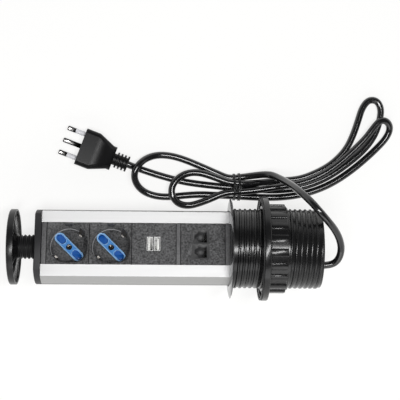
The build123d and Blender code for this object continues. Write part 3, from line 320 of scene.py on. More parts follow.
def plastic(name, colour, rough=(0.4, 0.55), scale=900.0, contrast=0.3, depth=0.00003, specular=0.5, coat=0.0,
            tone=0.25):
    # roughness from and to, scale and contrast of the grain, its depth in metres, and the spread of the colour
    grain = {"Scale": scale, "Contrast": contrast}
    material, tree, surface, mottle = patterned(name, moulded_grain(), grain, rough, "Roughness", depth)
    tree.links.new(toned(tree, colour, tone, mottle), surface["Base Color"])
    for label, value in (("Specular IOR Level", specular), ("Coat Weight", coat), ("Coat Roughness", 0.12)):
        surface[label].default_value = value
    return material


def metal(name, colour, rough, scale, depth, lines=False):
    # drawn lines along the tower, or a fine grain
    pattern = drawn_lines() if lines else moulded_grain()
    material, tree, surface, streaks = patterned(name, pattern, {"Scale": scale}, rough, "Tone", depth)
    tree.links.new(toned(tree, colour, 0.06, streaks), surface["Base Color"])
    surface["Metallic"].default_value = 1.0
    return material


def painted_edge_shade(material, start, end, share):
    # painted shade: a round piece's colour darkens toward a near black where it turns out of sight
    tree, shadow = material.node_tree, (0.03, 0.03, 0.032)
    colour = tree.nodes["Principled BSDF"].inputs["Base Color"]
    facing = new_node(tree, "ShaderNodeLayerWeight", {"Blend": 0.5}).outputs["Facing"]
    away = soft_step(tree, facing, start, end, 0.0, share)
    tree.links.new(mixed(tree, colour.links[0].from_socket, shadow, away), colour)
    return material


def silver_finish(flats, flanks):
    # brushed flats painted near white and flanks painted darker grey: lit and shaded copies of one aluminium,
    # with painted shade at the silhouettes
    material, tree, surface, streaks = patterned("Satin anodised aluminium", drawn_lines(), {"Scale": 420.0},
                                                 (0.38, 0.50), "Tone", 0.000006)
    height = new_node(tree, "ShaderNodeSeparateXYZ", {0: tower_place(tree, TOWER.translation)}).outputs["Z"]
    flank, flat = [toned(tree, colour, 0.03, streaks) for colour in (flanks, flats)]
    on_flat = maths(tree, "GREATER_THAN", height, FLAT_FOOT)
    tree.links.new(mixed(tree, flank, flat, on_flat), surface["Base Color"])
    surface["Metallic"].default_value = 0.3
    return painted_edge_shade(material, 0.76, 0.90, 0.86)


def make_finishes():
    # every finish with the name of its slot
    colours = bpy.context.scene.desk_colours
    face, dark, blue, edging, shutter, flats, flanks = (tuple(getattr(colours, name)) for name in (
        "face", "mouldings", "insert", "edging", "shutter", "flats", "flanks"))
    sheath = tuple(bpy.context.scene.desk_cord.colour)
    return {
        "silver": (silver_finish(flats, flanks), "brushed_silver"),
        "polished ring": (
            metal("Turned aluminium ring", (0.22, 0.22, 0.225), (0.14, 0.26), 500.0, 0.000003, True),
            "chrome_ring"),
        "black": (plastic("Black moulding", dark, (0.32, 0.5), 700.0, 0.2, 0.00002, 0.35), "black_plastic"),
        "end plate": (
            plastic("End plate plastic", shade(dark, 3.0), (0.4, 0.6), 600.0, 0.5, 0.00004, 0.4),
            "black_plastic"),
        "collar": (
            plastic("Threaded collar plastic", shade(dark, 0.8), (0.22, 0.32), 400.0, 0.1, 0.000002, 0.42, 0.15),
            "black_plastic"),
        "nut": (
            plastic("Ring nut plastic", shade(dark, 0.9), (0.20, 0.30), 400.0, 0.1, 0.000002, 0.42, 0.15),
            "black_plastic"),
        "cap": (plastic("Pull cap plastic", dark, (0.24, 0.4), 600.0, 0.2, 0.00002, 0.4), "black_cap"),
        "face": (
            plastic("Matt face plastic", face, (0.5, 0.7), 560.0, 2.8, 0.00008, 0.4, tone=0.7), "face_plastic"),
        "strip": (
            plastic("Matt strip plastic", shade(face, 1.6), (0.5, 0.7), 560.0, 1.6, 0.00008, 0.4, tone=0.4),
            "face_plastic"),
        # painted highlight: a much lighter copy of the face plastic for the lit edge in the recesses
        "rim": (
            plastic("Worn rim", shade(face, 4.6), (0.3, 0.45), 500.0, 0.8, 0.00002, tone=0.5), "face_plastic"),
        "jack": (
            plastic("Jack housing plastic", shade(face, 0.55), (0.4, 0.6), 800.0, 0.3, 0.00002), "jack_plastic"),
        "jack wire": (metal("Tinned jack wire", (0.5, 0.5, 0.48), (0.2, 0.35), 600.0, 0.000002), "contact_grey"),
        "blue": (
            plastic("Blue insert plastic", blue, (0.24, 0.36), 500.0, 0.15, 0.00001, tone=0.08), "blue_plastic"),
        # painted highlight: the insert blue made paler along its raised edges
        "blue edging": (
            plastic("Pale blue edging", edging, (0.22, 0.34), 500.0, 0.15, 0.00001, tone=0.05), "blue_plastic"),
        # painted shade: the insert blue darkened for the shutters down in the holes
        "shaded blue": (
            plastic("Dark blue shutter plastic", shutter, (0.3, 0.45), 500.0, 0.15, 0.00001, tone=0.1),
            "dark_blue_plastic"),
        "rubber": (
            plastic("Black rubber", shade(dark, 1.3), (0.4, 0.55), 900.0, 0.3, 0.00002, 0.4), "rubber_black"),
        "felt": (
            plastic("Grey felt", (0.12, 0.12, 0.12), (0.85, 0.95), 1400.0, 1.0, 0.0002, tone=0.4), "felt_grey"),
        "cord": (plastic("Cord sheath", sheath, (0.16, 0.22), 420.0, 0.1, 0.000001, 0.45, 0.6), "cord_sheath"),
        "plug": (
            plastic("Plug moulding", shade(dark, 0.9), (0.30, 0.42), 300.0, 0.1, 0.000001, 0.2), "plug_plastic"),
        "pin sleeve": (
            plastic("Pale pin sleeve", (0.72, 0.72, 0.75), (0.3, 0.45), 600.0, 0.2, 0.00001, tone=0.05),
            "sleeve_grey"),
        # painted reflection: the pins' colour goes dark round their sides and stays bright only where they face
        # the camera
        "pin": (
            painted_edge_shade(metal("Bright plug pin", (0.80, 0.79, 0.78), (0.2, 0.3), 700.0, 0.000002), 0.06, 0.2, 0.95),
            "plug_nickel"),
        "tie": (
            plastic("Coated tie wire", shade(dark, 1.2), (0.2, 0.35), 900.0, 0.2, 0.00001, 0.45), "tie_plastic"),
        "white tongue": (
            plastic("White tongue plastic", (0.78, 0.78, 0.76), (0.4, 0.5), 600.0, 0.2, 0.00001, tone=0.05),
            "tongue_plastic"),
        "circuit board": (
            plastic("Lacquered board", (0.03, 0.17, 0.07), (0.2, 0.4), 300.0, 0.5, 0.00002), "board_green"),
        "coil": (plastic("Taped coil", (0.22, 0.17, 0.03), (0.3, 0.5), 200.0, 0.6, 0.00003), "supply_plastic"),
        "brown wire": (plastic("Brown wire", (0.16, 0.06, 0.02), (0.3, 0.45), 500.0), "wire_brown"),
        "green wire": (plastic("Green and yellow wire", (0.22, 0.42, 0.04), (0.3, 0.45), 500.0), "wire_green"),
        "blue wire": (plastic("Blue wire", (0.03, 0.12, 0.5), (0.3, 0.45), 500.0), "wire_blue"),
        "nickel": (
            plastic("Bright nickel", (0.84, 0.84, 0.83), (0.2, 0.3), 700.0, 0.2, 0.000002, 1.0, tone=0.05),
            "port_nickel"),
        "spring steel": (metal("Spring steel", (0.66, 0.66, 0.67), (0.16, 0.3), 500.0, 0.000004), "spring_steel"),
        # painted highlight: the lit copy of the earth contacts' spring steel
        "bright strip": (
            plastic("Bright contact strip", (0.74, 0.70, 0.66), (0.25, 0.4), 500.0, 0.2, 0.000004, 1.0,
                    tone=0.05), "spring_steel"),
        # painted shade: the earth clips' spring steel painted dark where it lies in shade
        "shaded strip": (
            plastic("Tarnished contact strip", (0.05, 0.045, 0.04), (0.4, 0.6), 500.0, 0.4, 0.000004),
            "spring_steel"),
        "screw": (metal("Screw steel", (0.6, 0.6, 0.61), (0.2, 0.35), 500.0, 0.000004), "screw_steel"),
        # plated metal, darkened below its own colour as painted shade for the deep socket holes
        "brass": (metal("Plated brass", (0.34, 0.32, 0.29), (0.12, 0.22), 500.0, 0.000004), "contact_brass"),
    }


FINISHES = {}


def paint(piece, key):
    piece.data.materials.clear()
    piece.data.materials.append(FINISHES[key][0])


def finish(piece, key):
    paint(piece, key)


def node_body(node):
    return next(body for body, members in frame["record"]["behaviour"]["bodies"].items() if node in members)


def link(name, data):
    piece = bpy.data.objects.new(name, data)
    bpy.context.scene.collection.objects.link(piece)
    return piece


def settle(piece):
    # the evaluated mesh takes the place of the modifiers
    bpy.context.view_layer.update()
    seen = piece.evaluated_get(bpy.context.evaluated_depsgraph_get())
    mesh = bpy.data.meshes.new_from_object(seen)
    name = piece.name
    bpy.data.objects.remove(piece)
    return link(name, mesh)


def smooth(mesh, angle=32.0):
    mesh.shade_smooth()
    mesh.set_sharp_from_angle(angle=radians(angle))


def grid_mesh(name, rows, closed_rows=True):
    # a skin through rows of points, each row a loop; the rows close to a ring, or their two ends are filled
    count, width = len(rows), len(rows[0])
    faces = []
    for i in range(count if closed_rows else count - 1):
        for j in range(width):
            near, far, after = i * width, (i + 1) % count * width, (j + 1) % width
            faces.append((near + j, near + after, far + after, far + j))
    mesh = bpy.data.meshes.new(name)
    mesh.from_pydata([point for row in rows for point in row], [], faces)
    tidy(mesh, fill=not closed_rows)
    return mesh


def tidy(mesh, fill=False):
    # doubles merged, open ends filled on request, faces outward
    work = bmesh.new()
    work.from_mesh(mesh)
    bmesh.ops.remove_doubles(work, verts=work.verts, dist=1e-6)
    if fill:
        bmesh.ops.holes_fill(work, edges=[e for e in work.edges if e.is_boundary], sides=0)
    bmesh.ops.recalc_face_normals(work, faces=work.faces)
    work.to_mesh(mesh)
    work.free()


def circle(radius, steps):
    return [(radius * cos(2 * pi * i / steps), radius * sin(2 * pi * i / steps)) for i in range(steps)]


def lathe(name, profile, steps, place=TOWER):
    # a closed outline of (x, radius) in metres, turned about the tower's axis
    turns = circle(1.0, steps)
    return grid_mesh(name, [[place @ Vector((x, r * c, r * s)) for x, r in profile] for c, s in turns])


def stand_in_for(piece, key, node, body=None):
    # the piece takes the CAD node's place and moves with the node's body
    finish(piece, key)
    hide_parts(node)
    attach(piece, body or node_body(node))
    return piece


# Geometry node trees for what repeats or follows a path

def new_tree(name, inputs):
    tree = bpy.data.node_groups.new(name, "GeometryNodeTree")
    tree.is_modifier = True
    tree.interface.new_socket("Geometry", in_out="INPUT", socket_type="NodeSocketGeometry")
    for label, kind, value in inputs:
        tree.interface.new_socket(label, in_out="INPUT", socket_type=kind).default_value = value
    tree.interface.new_socket("Finish", in_out="INPUT", socket_type="NodeSocketMaterial")
    tree.interface.new_socket("Geometry", in_out="OUTPUT", socket_type="NodeSocketGeometry")
    return tree, new_node(tree, "NodeGroupInput").outputs


def close_tree(tree, ins, geometry):
    # every tree ends in real geometry that carries its material
    real = add(tree, "GeometryNodeRealizeInstances", {"Geometry": geometry})
    painted = add(tree, "GeometryNodeSetMaterial", {"Geometry": real, "Material": ins["Finish"]})
    new_node(tree, "NodeGroupOutput", {"Geometry": painted})
    return tree


def turned_copies(tree, piece, count, axis):
    # one copy of the piece for each share of a full turn
    share = maths(tree, "DIVIDE", 2 * pi, count)
    turn = add(tree, "ShaderNodeCombineXYZ", {
        axis: maths(tree, "MULTIPLY", add(tree, "GeometryNodeInputIndex"), share)})
    points = add(tree, "GeometryNodePoints", {"Count": count})
    return add(tree, "GeometryNodeInstanceOnPoints", {"Points": points, "Instance": piece, "Rotation": turn})


def ring_tree():
    tree, ins = new_tree("Copies round the tower", [("Count", "NodeSocketInt", 12)])
    return close_tree(tree, ins, turned_copies(tree, ins["Geometry"], ins["Count"], "X"))


def row_tree():
    tree, ins = new_tree("Copies in a row", [
        ("Count", "NodeSocketInt", 4), ("Step", "NodeSocketVector", (0.004, 0.0, 0.0))])
    place = add(tree, "ShaderNodeVectorMath", {0: ins["Step"], "Scale": add(tree, "GeometryNodeInputIndex")},
                operation="SCALE")
    points = add(tree, "GeometryNodePoints", {"Count": ins["Count"], "Position": place})
    copies = add(tree, "GeometryNodeInstanceOnPoints", {"Points": points, "Instance": ins["Geometry"]})
    return close_tree(tree, ins, copies)


def coil_tree():
    # the outline that goes in is swept along a helix about the tower's axis, once for each start
    tree, ins = new_tree("Coil along the tower", [
        ("Turns", "NodeSocketFloat", 5.0), ("Radius", "NodeSocketFloat", 0.01),
        ("Length", "NodeSocketFloat", 0.02), ("Steps", "NodeSocketInt", 96), ("Starts", "NodeSocketInt", 1),
        ("Run out", "NodeSocketFloat", 0.01)])
    spiral = add(tree, "GeometryNodeCurveSpiral", {
        "Resolution": ins["Steps"], "Rotations": ins["Turns"], "Start Radius": ins["Radius"],
        "End Radius": ins["Radius"], "Height": ins["Length"]})
    upright = add(tree, "GeometryNodeSetCurveNormal", {"Curve": spiral}, mode="Z_UP")
    along = add(tree, "GeometryNodeSplineParameter")
    nearest = maths(tree, "MINIMUM", along, maths(tree, "SUBTRACT", 1.0, along))
    swell = add(tree, "ShaderNodeMapRange", {"Value": nearest, "From Max": ins["Run out"], "To Min": 0.05})
    outline = add(tree, "GeometryNodeMeshToCurve", {"Mesh": ins["Geometry"]})
    swept = add(tree, "GeometryNodeCurveToMesh", {
        "Curve": upright, "Profile Curve": outline, "Scale": swell, "Fill Caps": True})
    copies = turned_copies(tree, swept, ins["Starts"], "Z")
    laid = add(tree, "GeometryNodeTransform", {"Geometry": copies, "Rotation": (0.0, pi / 2, 0.0)})
    return close_tree(tree, ins, laid)


def bead_tree():
    # a round wire or bead along the edges that go in
    tree, ins = new_tree("Bead along a line", [
        ("Radius", "NodeSocketFloat", 0.0005), ("Sides", "NodeSocketInt", 8)])
    path = add(tree, "GeometryNodeMeshToCurve", {"Mesh": ins["Geometry"]})
    outline = add(tree, "GeometryNodeCurvePrimitiveCircle", {"Resolution": ins["Sides"], "Radius": ins["Radius"]})
    swept = add(tree, "GeometryNodeCurveToMesh", {"Curve": path, "Profile Curve": outline, "Fill Caps": True})
    return close_tree(tree, ins, swept)


TREE_MAKERS = {"ring": ring_tree, "row": row_tree, "coil": coil_tree, "bead": bead_tree}
TREES = {}


def grown(name, kind, mesh, key, values, place=None, sharp=40.0):
    # what a tree makes of a mesh, as a plain mesh laid in its place
    if kind not in TREES:
        TREES[kind] = TREE_MAKERS[kind]()
    tree = TREES[kind]
    piece = link(name, mesh)
    modifier = piece.modifiers.new(tree.name, "NODES")
    modifier.node_group = tree
    sockets = {item.name: item.identifier for item in tree.interface.items_tree if item.in_out == "INPUT"}
    modifier[sockets["Finish"]] = FINISHES[key][0]
    for label, value in values.items():
        modifier[sockets[label]] = value
    piece = settle(piece)
    if place:
        piece.data.transform(place)
    tidy(piece.data)
    smooth(piece.data, sharp)
    return piece


def line_mesh(points, closed=True):
    mesh = bpy.data.meshes.new("line")
    count = len(points)
    mesh.from_pydata(points, [(i, (i + 1) % count) for i in range(count if closed else count - 1)], [])
    return mesh


def prism(outline, x0, x1, ease):
    # a bar along the tower from an outline of (y, z), its two ends drawn in a little
    middle_y, middle_z = (sum(p[i] for p in outline) / len(outline) for i in (0, 1))
    drawn_in = 1 - ease / max(hypot(y - middle_y, z - middle_z) for y, z in outline)
    rows = [[(x, middle_y + (y - middle_y) * share, middle_z + (z - middle_z) * share) for y, z in outline]
            for x, share in ((x0, drawn_in), (x0 + ease, 1.0), (x1 - ease, 1.0), (x1, drawn_in))]
    return grid_mesh("bar", rows, closed_rows=False)


def stadium(length, width, steps=16):
    # a long oval about the origin, along x
    reach, r = (length - width) / 2, width / 2
    return [(middle + r * cos(start + pi * i / steps), r * sin(start + pi * i / steps))
            for middle, start in ((reach, -pi / 2), (-reach, pi / 2)) for i in range(steps + 1)]


class DESKSOCKET_OT_stage(bpy.types.Operator):
    """Pale floor, soft lamps and the camera"""
    bl_idname = "desksocket.stage"
    bl_label = "Stage"

    def execute(self, context):
        reach = 4.0
        corners = [(-reach, -reach, 0), (reach, -reach, 0), (reach, reach, 0), (-reach, reach, 0)]
        mesh = bpy.data.meshes.new("floor")
        mesh.from_pydata(corners, [], [(0, 1, 2, 3)])
        mesh.materials.append(self.floor_paint())
        floor = link("floor", mesh)
        floor.location.z = -0.0003
        self.sky()
        self.lamps()
        self.camera()
        context.scene.view_settings.view_transform = "Standard"
        return {"FINISHED"}

    def floor_paint(self):
        # pale where it lights the object, and near white with the object's shadow where it is seen
        material = bpy.data.materials.new("Pale floor")
        material.use_nodes = True
        tree = material.node_tree
        tree.nodes.clear()
        paint = add(tree, "ShaderNodeBsdfDiffuse", {"Color": (0.8, 0.8, 0.79, 1)})
        seen_paint = add(tree, "ShaderNodeBsdfDiffuse", {"Color": (0.26, 0.26, 0.258, 1)})
        glow = add(tree, "ShaderNodeEmission", {"Color": (1.0, 0.998, 0.99, 1), "Strength": 0.76})
        bright = add(tree, "ShaderNodeAddShader", {0: seen_paint, 1: glow})
        rays = new_node(tree, "ShaderNodeLightPath").outputs
        seen = maths(tree, "MAXIMUM", maths(tree, "MAXIMUM", rays["Is Camera Ray"], rays["Is Glossy Ray"]),
                     rays["Is Transmission Ray"])
        pick = add(tree, "ShaderNodeMixShader", {0: seen, 1: paint, 2: bright})
        new_node(tree, "ShaderNodeOutputMaterial", {0: pick})
        return material

    def sky(self):
        # white round the horizon, dim overhead
        world = bpy.data.worlds.new("Studio")
        bpy.context.scene.world = world
        world.use_nodes = True
        tree = world.node_tree
        tree.nodes.clear()
        way = new_node(tree, "ShaderNodeTexCoord").outputs["Generated"]
        height = new_node(tree, "ShaderNodeSeparateXYZ", {0: way}).outputs["Z"]
        level = soft_step(tree, height, 0.20, 0.60, 1.0, 0.08)
        light = add(tree, "ShaderNodeBackground", {"Color": (1, 1, 1, 1), "Strength": level})
        new_node(tree, "ShaderNodeOutputWorld", {0: light})

    def lamps(self):
        aim = Vector((0, 0.03, 0.05))
        for name, place, size, power in (("overhead strip", (0.05, -0.06, 1.32), (0.9, 0.20), 12.6),
                                         ("near panel", (0.1, -0.95, 0.75), (1.2, 0.5), 3.4)):
            data = bpy.data.lights.new(name, "AREA")
            data.shape = "RECTANGLE"
            data.size, data.size_y = size
            data.energy = power
            lamp = link(name, data)
            lamp.location = place
            lamp.rotation_euler = (aim - Vector(place)).to_track_quat("-Z", "Y").to_euler()

    def camera(self):
        data = bpy.data.cameras.new("camera")
        data.sensor_width = 36.0
        data.lens = 98.24
        data.clip_end = 20.0
        camera = link("camera", data)
        place = (-0.07038, 0.04748, 1.12773)
        view = Vector((0.0951, 0.0003, -0.9955)).normalized()
        up = Vector((-0.0094, 1.0, -0.0006))
        right = view.cross(up).normalized()
        up = right.cross(view)
        turn = Matrix((right, up, -view)).transposed().to_4x4()
        camera.matrix_world = Matrix.Translation(place) @ turn
        bpy.context.scene.camera = camera


class DESKSOCKET_OT_finishes(bpy.types.Operator):
    """Materials, and the CAD pieces that show as they are"""
    bl_idname = "desksocket.finishes"
    bl_label = "Finishes"

    def execute(self, context):
        FINISHES.update(make_finishes())
        for node, key in PLAIN.items():
            paint(frame["nodes"][node], key)
        return {"FINISHED"}


class DESKSOCKET_OT_eased_pieces(bpy.types.Operator):
    """Mouldings and metal pieces, merged smooth with their edges eased"""
    bl_idname = "desksocket.eased_pieces"
    bl_label = "Mouldings and metal pieces"

    def execute(self, context):
        for node, key in EASED.items():
            stand_in_for(eased(node, EDGE_WIDTHS.get(node, 0)), key, node)
        return {"FINISHED"}


def merged_copy(node, flat_faces=False):
    # the CAD node's mesh with its seams closed, and on request the triangles of each flat side joined
    mesh = frame["nodes"][node].data.copy()
    mesh.name = node + "_eased"
    work = bmesh.new()
    work.from_mesh(mesh)
    bmesh.ops.remove_doubles(work, verts=work.verts, dist=2e-6)
    if flat_faces:
        bmesh.ops.dissolve_limit(work, angle_limit=radians(0.5), verts=work.verts, edges=work.edges)
    work.to_mesh(mesh)
    work.free()
    return mesh


def scalloped(mesh, centre):
    # the recess wall gives way a little beyond one end of the oval insert
    spread, growth, nearness, foot = 0.6, 0.14, 0.0003, 0.005
    for vertex in mesh.vertices:
        place = TOWER.inverted() @ vertex.co
        x, y = place.x - centre, place.y
        away = abs(atan2(y, x) - (OVAL_TURN - pi))
        if abs(hypot(x, y) - RECESS_RADIUS) < nearness and away < spread and place.z > foot:
            grow = 1 + growth * cos(away / spread * pi / 2) ** 2
            vertex.co = TOWER @ Vector((centre + x * grow, y * grow, place.z))


def eased(node, width):
    piece = link(node + "_eased", merged_copy(node, width > 0))
    for number, centre in enumerate(SOCKET_CENTRES, 1):
        if node == f"socket_{number}_body":
            scalloped(piece.data, centre)
    if width:
        edge = piece.modifiers.new("eased edges", "BEVEL")
        edge.width = width * MM
        edge.segments = 2
        edge.limit_method = "ANGLE"
        edge.angle_limit = radians(38)
        edge.use_clamp_overlap = True
        piece = settle(piece)
    smooth(piece.data)
    return piece


class DESKSOCKET_OT_mains_lead(bpy.types.Operator):
    """The mains lead, one length of cord from the bush through its hank to the plug"""
    bl_idname = "desksocket.mains_lead"
    bl_label = "Mains lead"

    def execute(self, context):
        sizes = context.scene.desk_cord
        curve = bpy.data.curves.new("mains_lead", "CURVE")
        curve.dimensions = "3D"
        route = LEAD_ROUTE + HANK_ROUTE + TAIL_ROUTE
        spline = curve.splines.new("NURBS")
        spline.points.add(len(route) - 1)
        for point, place in zip(spline.points, route):
            point.co = (*place, 1.0)
        spline.order_u = 3
        spline.use_endpoint_u = True
        spline.resolution_u = 10
        curve.bevel_depth = sizes.diameter / 2
        curve.bevel_resolution = 7
        curve.use_fill_caps = True
        lead = link("mains_lead", curve)
        lead.data.materials.append(FINISHES["cord"][0])
        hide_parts("lead_cord", "cord_hank", "plug_tail")
        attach(lead, "tower")
        return {"FINISHED"}


def route_places():
    # points along the lead's own line, read from a copy of its curve with no thickness
    curve = bpy.data.objects["mains_lead"].data.copy()
    curve.bevel_depth = 0
    curve.use_fill_caps = False
    line = link("lead line", curve)
    bpy.context.view_layer.update()
    mesh = bpy.data.meshes.new_from_object(line.evaluated_get(bpy.context.evaluated_depsgraph_get()))
    places = [v.co.copy() for v in mesh.vertices]
    bpy.data.objects.remove(line)
    return places


def strands_at(x):
    places = route_places()
    found = []
    for a, b in zip(places[:-1], places[1:]):
        if (a.x - x) * (b.x - x) <= 0 and a.x != b.x and a.z < 0.025:
            found.append(a.lerp(b, (x - a.x) / (b.x - a.x)))
    return found


def hull(points):
    ordered = sorted(points)

    def turning(a, b, c):
        return (b[0] - a[0]) * (c[1] - a[1]) - (b[1] - a[1]) * (c[0] - a[0])

    def half(run):
        kept = []
        for p in run:
            while len(kept) > 1 and turning(kept[-2], kept[-1], p) <= 0:
                kept.pop()
            kept.append(p)
        return kept[:-1]

    return half(ordered) + half(ordered[::-1])


def join(name, parts):
    work = bmesh.new()
    for part in parts:
        work.from_mesh(part.data)
        bpy.data.objects.remove(part)
    mesh = bpy.data.meshes.new(name)
    work.to_mesh(mesh)
    work.free()
    return link(name, mesh)


class DESKSOCKET_OT_hank_tie(bpy.types.Operator):
    """The coated wire that ties the hank, with its twisted ends"""
    bl_idname = "desksocket.hank_tie"
    bl_label = "Hank tie"

    def execute(self, context):
        wire = {"Radius": 0.00055, "Sides": 8}
        lowest = apart = 0.0007
        slack, turns = 0.0006, (0.0718, 0.0770)
        round_strand = circle(context.scene.desk_cord.diameter / 2 + slack, 28)
        parts = []
        for x in turns:
            rim = [(s.y + y, s.z + z) for s in strands_at(x) for y, z in round_strand]
            loop = [(y, max(z, lowest)) for y, z in hull(rim)]
            for shift in (-apart, apart):
                turn = line_mesh([(x + shift, y, z) for y, z in loop])
                parts.append(grown("tie turn", "bead", turn, "tie", wire))
        top = max(loop, key=lambda p: p[1])
        for phase in (0, pi):
            parts.append(grown("tie end", "bead", line_mesh(self.twisted(*top, phase), False), "tie", wire))
        tie = join("hank_tie_wire", parts)
        smooth(tie.data, 60)
        stand_in_for(tie, "tie", "hank_tie", "tower")
        return {"FINISHED"}

    def twisted(self, y, z, phase):
        # one end of the wire, wound about the other and bent over
        middle, wind, half_turns, points = 0.0744, 0.0008, 7, 40
        back, inward, reach, lift, rise, bend = 0.004, 0.0005, 0.0065, 0.002, 0.0045, 0.8
        places = []
        for i in range(points):
            share = i / (points - 1)
            turn = phase + share * half_turns * pi
            places.append((middle + wind * cos(turn) - back * share,
                           y - inward + reach * sin(share * pi * bend),
                           z + wind * sin(turn) + lift + rise * sin(share * pi)))
        return places


def plug_frame():
    # the plug's own frame: pins along +x, x = 0 at the cord end of its sleeve
    overlap = 0.0037
    start = Vector(TAIL_ROUTE[-2]) + overlap * Vector((cos(PLUG_HEADING), sin(PLUG_HEADING), 0))
    return Matrix.Translation(start) @ Matrix.Rotation(PLUG_HEADING, 4, "Z")


class DESKSOCKET_OT_plug(bpy.types.Operator):
    """The ribbed sleeve behind the plug"""
    bl_idname = "desksocket.plug"
    bl_label = "Plug"

    def execute(self, context):
        sleeve = self.sleeve(context.scene.desk_sleeve)
        return {"FINISHED"}

    def sleeve(self, sizes):
        bore, core, crest = 0.0037, sizes.core, sizes.crest
        start, stop, pin, thick, ease = 0.0002, 0.0052, 0.0005, 0.0019, 0.0004
        as_made = Matrix.Identity(4)
        tube = link("plug sleeve core", lathe("plug sleeve core", [
            (start, bore), (start, core - 0.0003), (0.0005, core), (SLEEVE_LENGTH, core), (SLEEVE_LENGTH, pin),
            (stop, pin), (stop, bore)], 48, as_made))
        rib = lathe("rib", [
            (0.0, bore + 0.0002), (0.0, crest - ease), (0.0001, crest - 0.0001), (ease, crest),
            (thick - ease, crest), (thick - 0.0001, crest - 0.0001), (thick, crest - ease),
            (thick, bore + 0.0002)], 48, as_made)
        row = {"Count": sizes.ribs, "Step": (sizes.pitch, 0.0, 0.0)}
        ribs = grown("plug sleeve ribs", "row", rib, "plug", row)
        piece = join("plug_sleeve_ribbed", [tube, ribs])
        piece.data.transform(plug_frame())
        smooth(piece.data, 35)
        return stand_in_for(piece, "plug", "plug_relief")


class DESKSOCKET_OT_collar(bpy.types.Operator):
    """The collar with its coarse thread, and the turned flange ring"""
    bl_idname = "desksocket.collar"
    bl_label = "Threaded collar"

    def execute(self, context):
        sizes = context.scene.desk_collar
        root, end = sizes.root, sizes.length
        foot, foot_end, guide, groove = 0.041, 0.0008, 0.0371, 0.038
        guide_start, groove_start, groove_end, guide_end = 0.012, 0.016, 0.020, 0.0827
        barrel = link("collar barrel", lathe("collar barrel", [
            (0.0, COLLAR_BORE), (0.0, foot - 0.0002), (0.0002, foot), (foot_end - 0.0002, foot),
            (foot_end, foot - 0.0002), (foot_end, root), (end - 0.0004, root), (end, root - 0.0003),
            (end, COLLAR_BORE), (guide_end, COLLAR_BORE), (guide_end, guide), (groove_end, guide),
            (groove_end, groove), (groove_start, groove), (groove_start, guide), (guide_start, guide),
            (guide_start, COLLAR_BORE)], 144))
        height = sizes.crest - root
        half_ridge = [(0.0002, 0.0016), (-height * 0.55, 0.0011), (-height * 0.9, 0.0007), (-height, 0.0003)]
        ridge = [(x, -y, 0.0) for x, y in half_ridge] + [(x, y, 0.0) for x, y in half_ridge[::-1]]
        length = end - 0.0036
        thread = grown("collar thread", "coil", line_mesh(ridge), "collar", {
            "Turns": length / (sizes.pitch * sizes.starts), "Radius": root, "Length": length, "Steps": 96,
            "Starts": sizes.starts, "Run out": 0.012}, TOWER @ Matrix.Translation((0.0022, 0, 0)), 60)
        collar = join("collar_threaded", [barrel, thread, self.key()])
        smooth(collar.data, 50)
        stand_in_for(collar, "collar", "threaded_collar")
        self.flange()
        return {"FINISHED"}

    def key(self):
        # the rib in the bore that keeps the tower from turning
        half, outer, inner = 0.0018, -0.0374, -0.0352
        mesh = prism([(-half, outer), (half, outer), (half, inner), (-half, inner)], 0.024, 0.064, 0.0003)
        mesh.transform(TOWER)
        return link("collar key", mesh)

    def flange(self):
        # a shallow dome in front, flat behind
        rim, thick, fall, steps = 0.0500, 0.002, 0.0016, 10
        inner, width = COLLAR_BORE + 0.0004, rim - COLLAR_BORE - 0.0009
        dome = [(-thick + fall * (i / steps) ** 3, inner + width * i / steps) for i in range(steps + 1)]
        profile = [(0.0, COLLAR_BORE), (-thick + 0.0003, COLLAR_BORE), *dome, (-0.0002, rim - 0.0001),
                   (-0.0001, rim - 0.0003), (0.0, rim - 0.0006)]
        piece = link("flange_ring_turned", lathe("flange_ring_turned", profile, 144))
        smooth(piece.data, 50)
        stand_in_for(piece, "polished ring", "flange_ring")


class DESKSOCKET_OT_ring_nut(bpy.types.Operator):
    """The ring nut with its grips and the webs in its dish"""
    bl_idname = "desksocket.ring_nut"
    bl_label = "Ring nut"

    def execute(self, context):
        sizes = context.scene.desk_nut
        front, rim = sizes.front, sizes.radius
        bore, core, root, crest, dish = 0.0399, 0.0414, 0.0426, 0.0441, rim - 0.00315
        rim_end, back, step, end = front + 0.0056, front + 0.0068, 0.0534, 0.0555
        body = link("nut body", lathe("nut body", [
            (front, bore), (end, bore), (end, core - 0.0003), (end - 0.0003, core), (step + 0.0002, core),
            (step, root - 0.0003), (step - 0.0003, root), (back + 0.0004, root), (back + 0.0001, root + 0.0006),
            (rim_end + 0.0002, rim - 0.0006), (rim_end - 0.0003, rim - 0.0001), (rim_end - 0.0006, rim),
            (front + 0.0004, rim), (front + 0.0001, rim - 0.0001), (front, rim - 0.0004), (front, dish + 0.0003),
            (front + 0.0003, dish), (rim_end - 0.0024, dish), (back - 0.0024, root), (front, root)], 160))
        half, share = pi * crest / sizes.grips * 0.58, 0.0004
        flank = [(half, root - 0.0006), (half, crest - 0.0007), (half - share, crest - 0.0002),
                 (half - 0.001, crest + 0.0001)]
        outline = [(-half, flank[0][1]), *flank, *((-y, z) for y, z in flank[:0:-1])]
        grip = prism(outline, back - 0.0002, step + 0.0001, 0.0003)
        grips = grown("nut grips", "ring", grip, "nut", {"Count": sizes.grips}, TOWER, 30)
        thick, low, high = 0.0008, core - 0.0002, dish + 0.0012
        web = prism([(-thick, low), (thick, low), (thick, high), (-thick, high)], front + 0.001, back - 0.0012,
                    0.0002)
        webs = grown("nut webs", "ring", web, "nut", {"Count": sizes.webs}, TOWER, 30)
        nut = join("ring_nut_moulded", [body, grips, webs])
        smooth(nut.data, 30)
        stand_in_for(nut, "nut", "ring_nut")
        return {"FINISHED"}


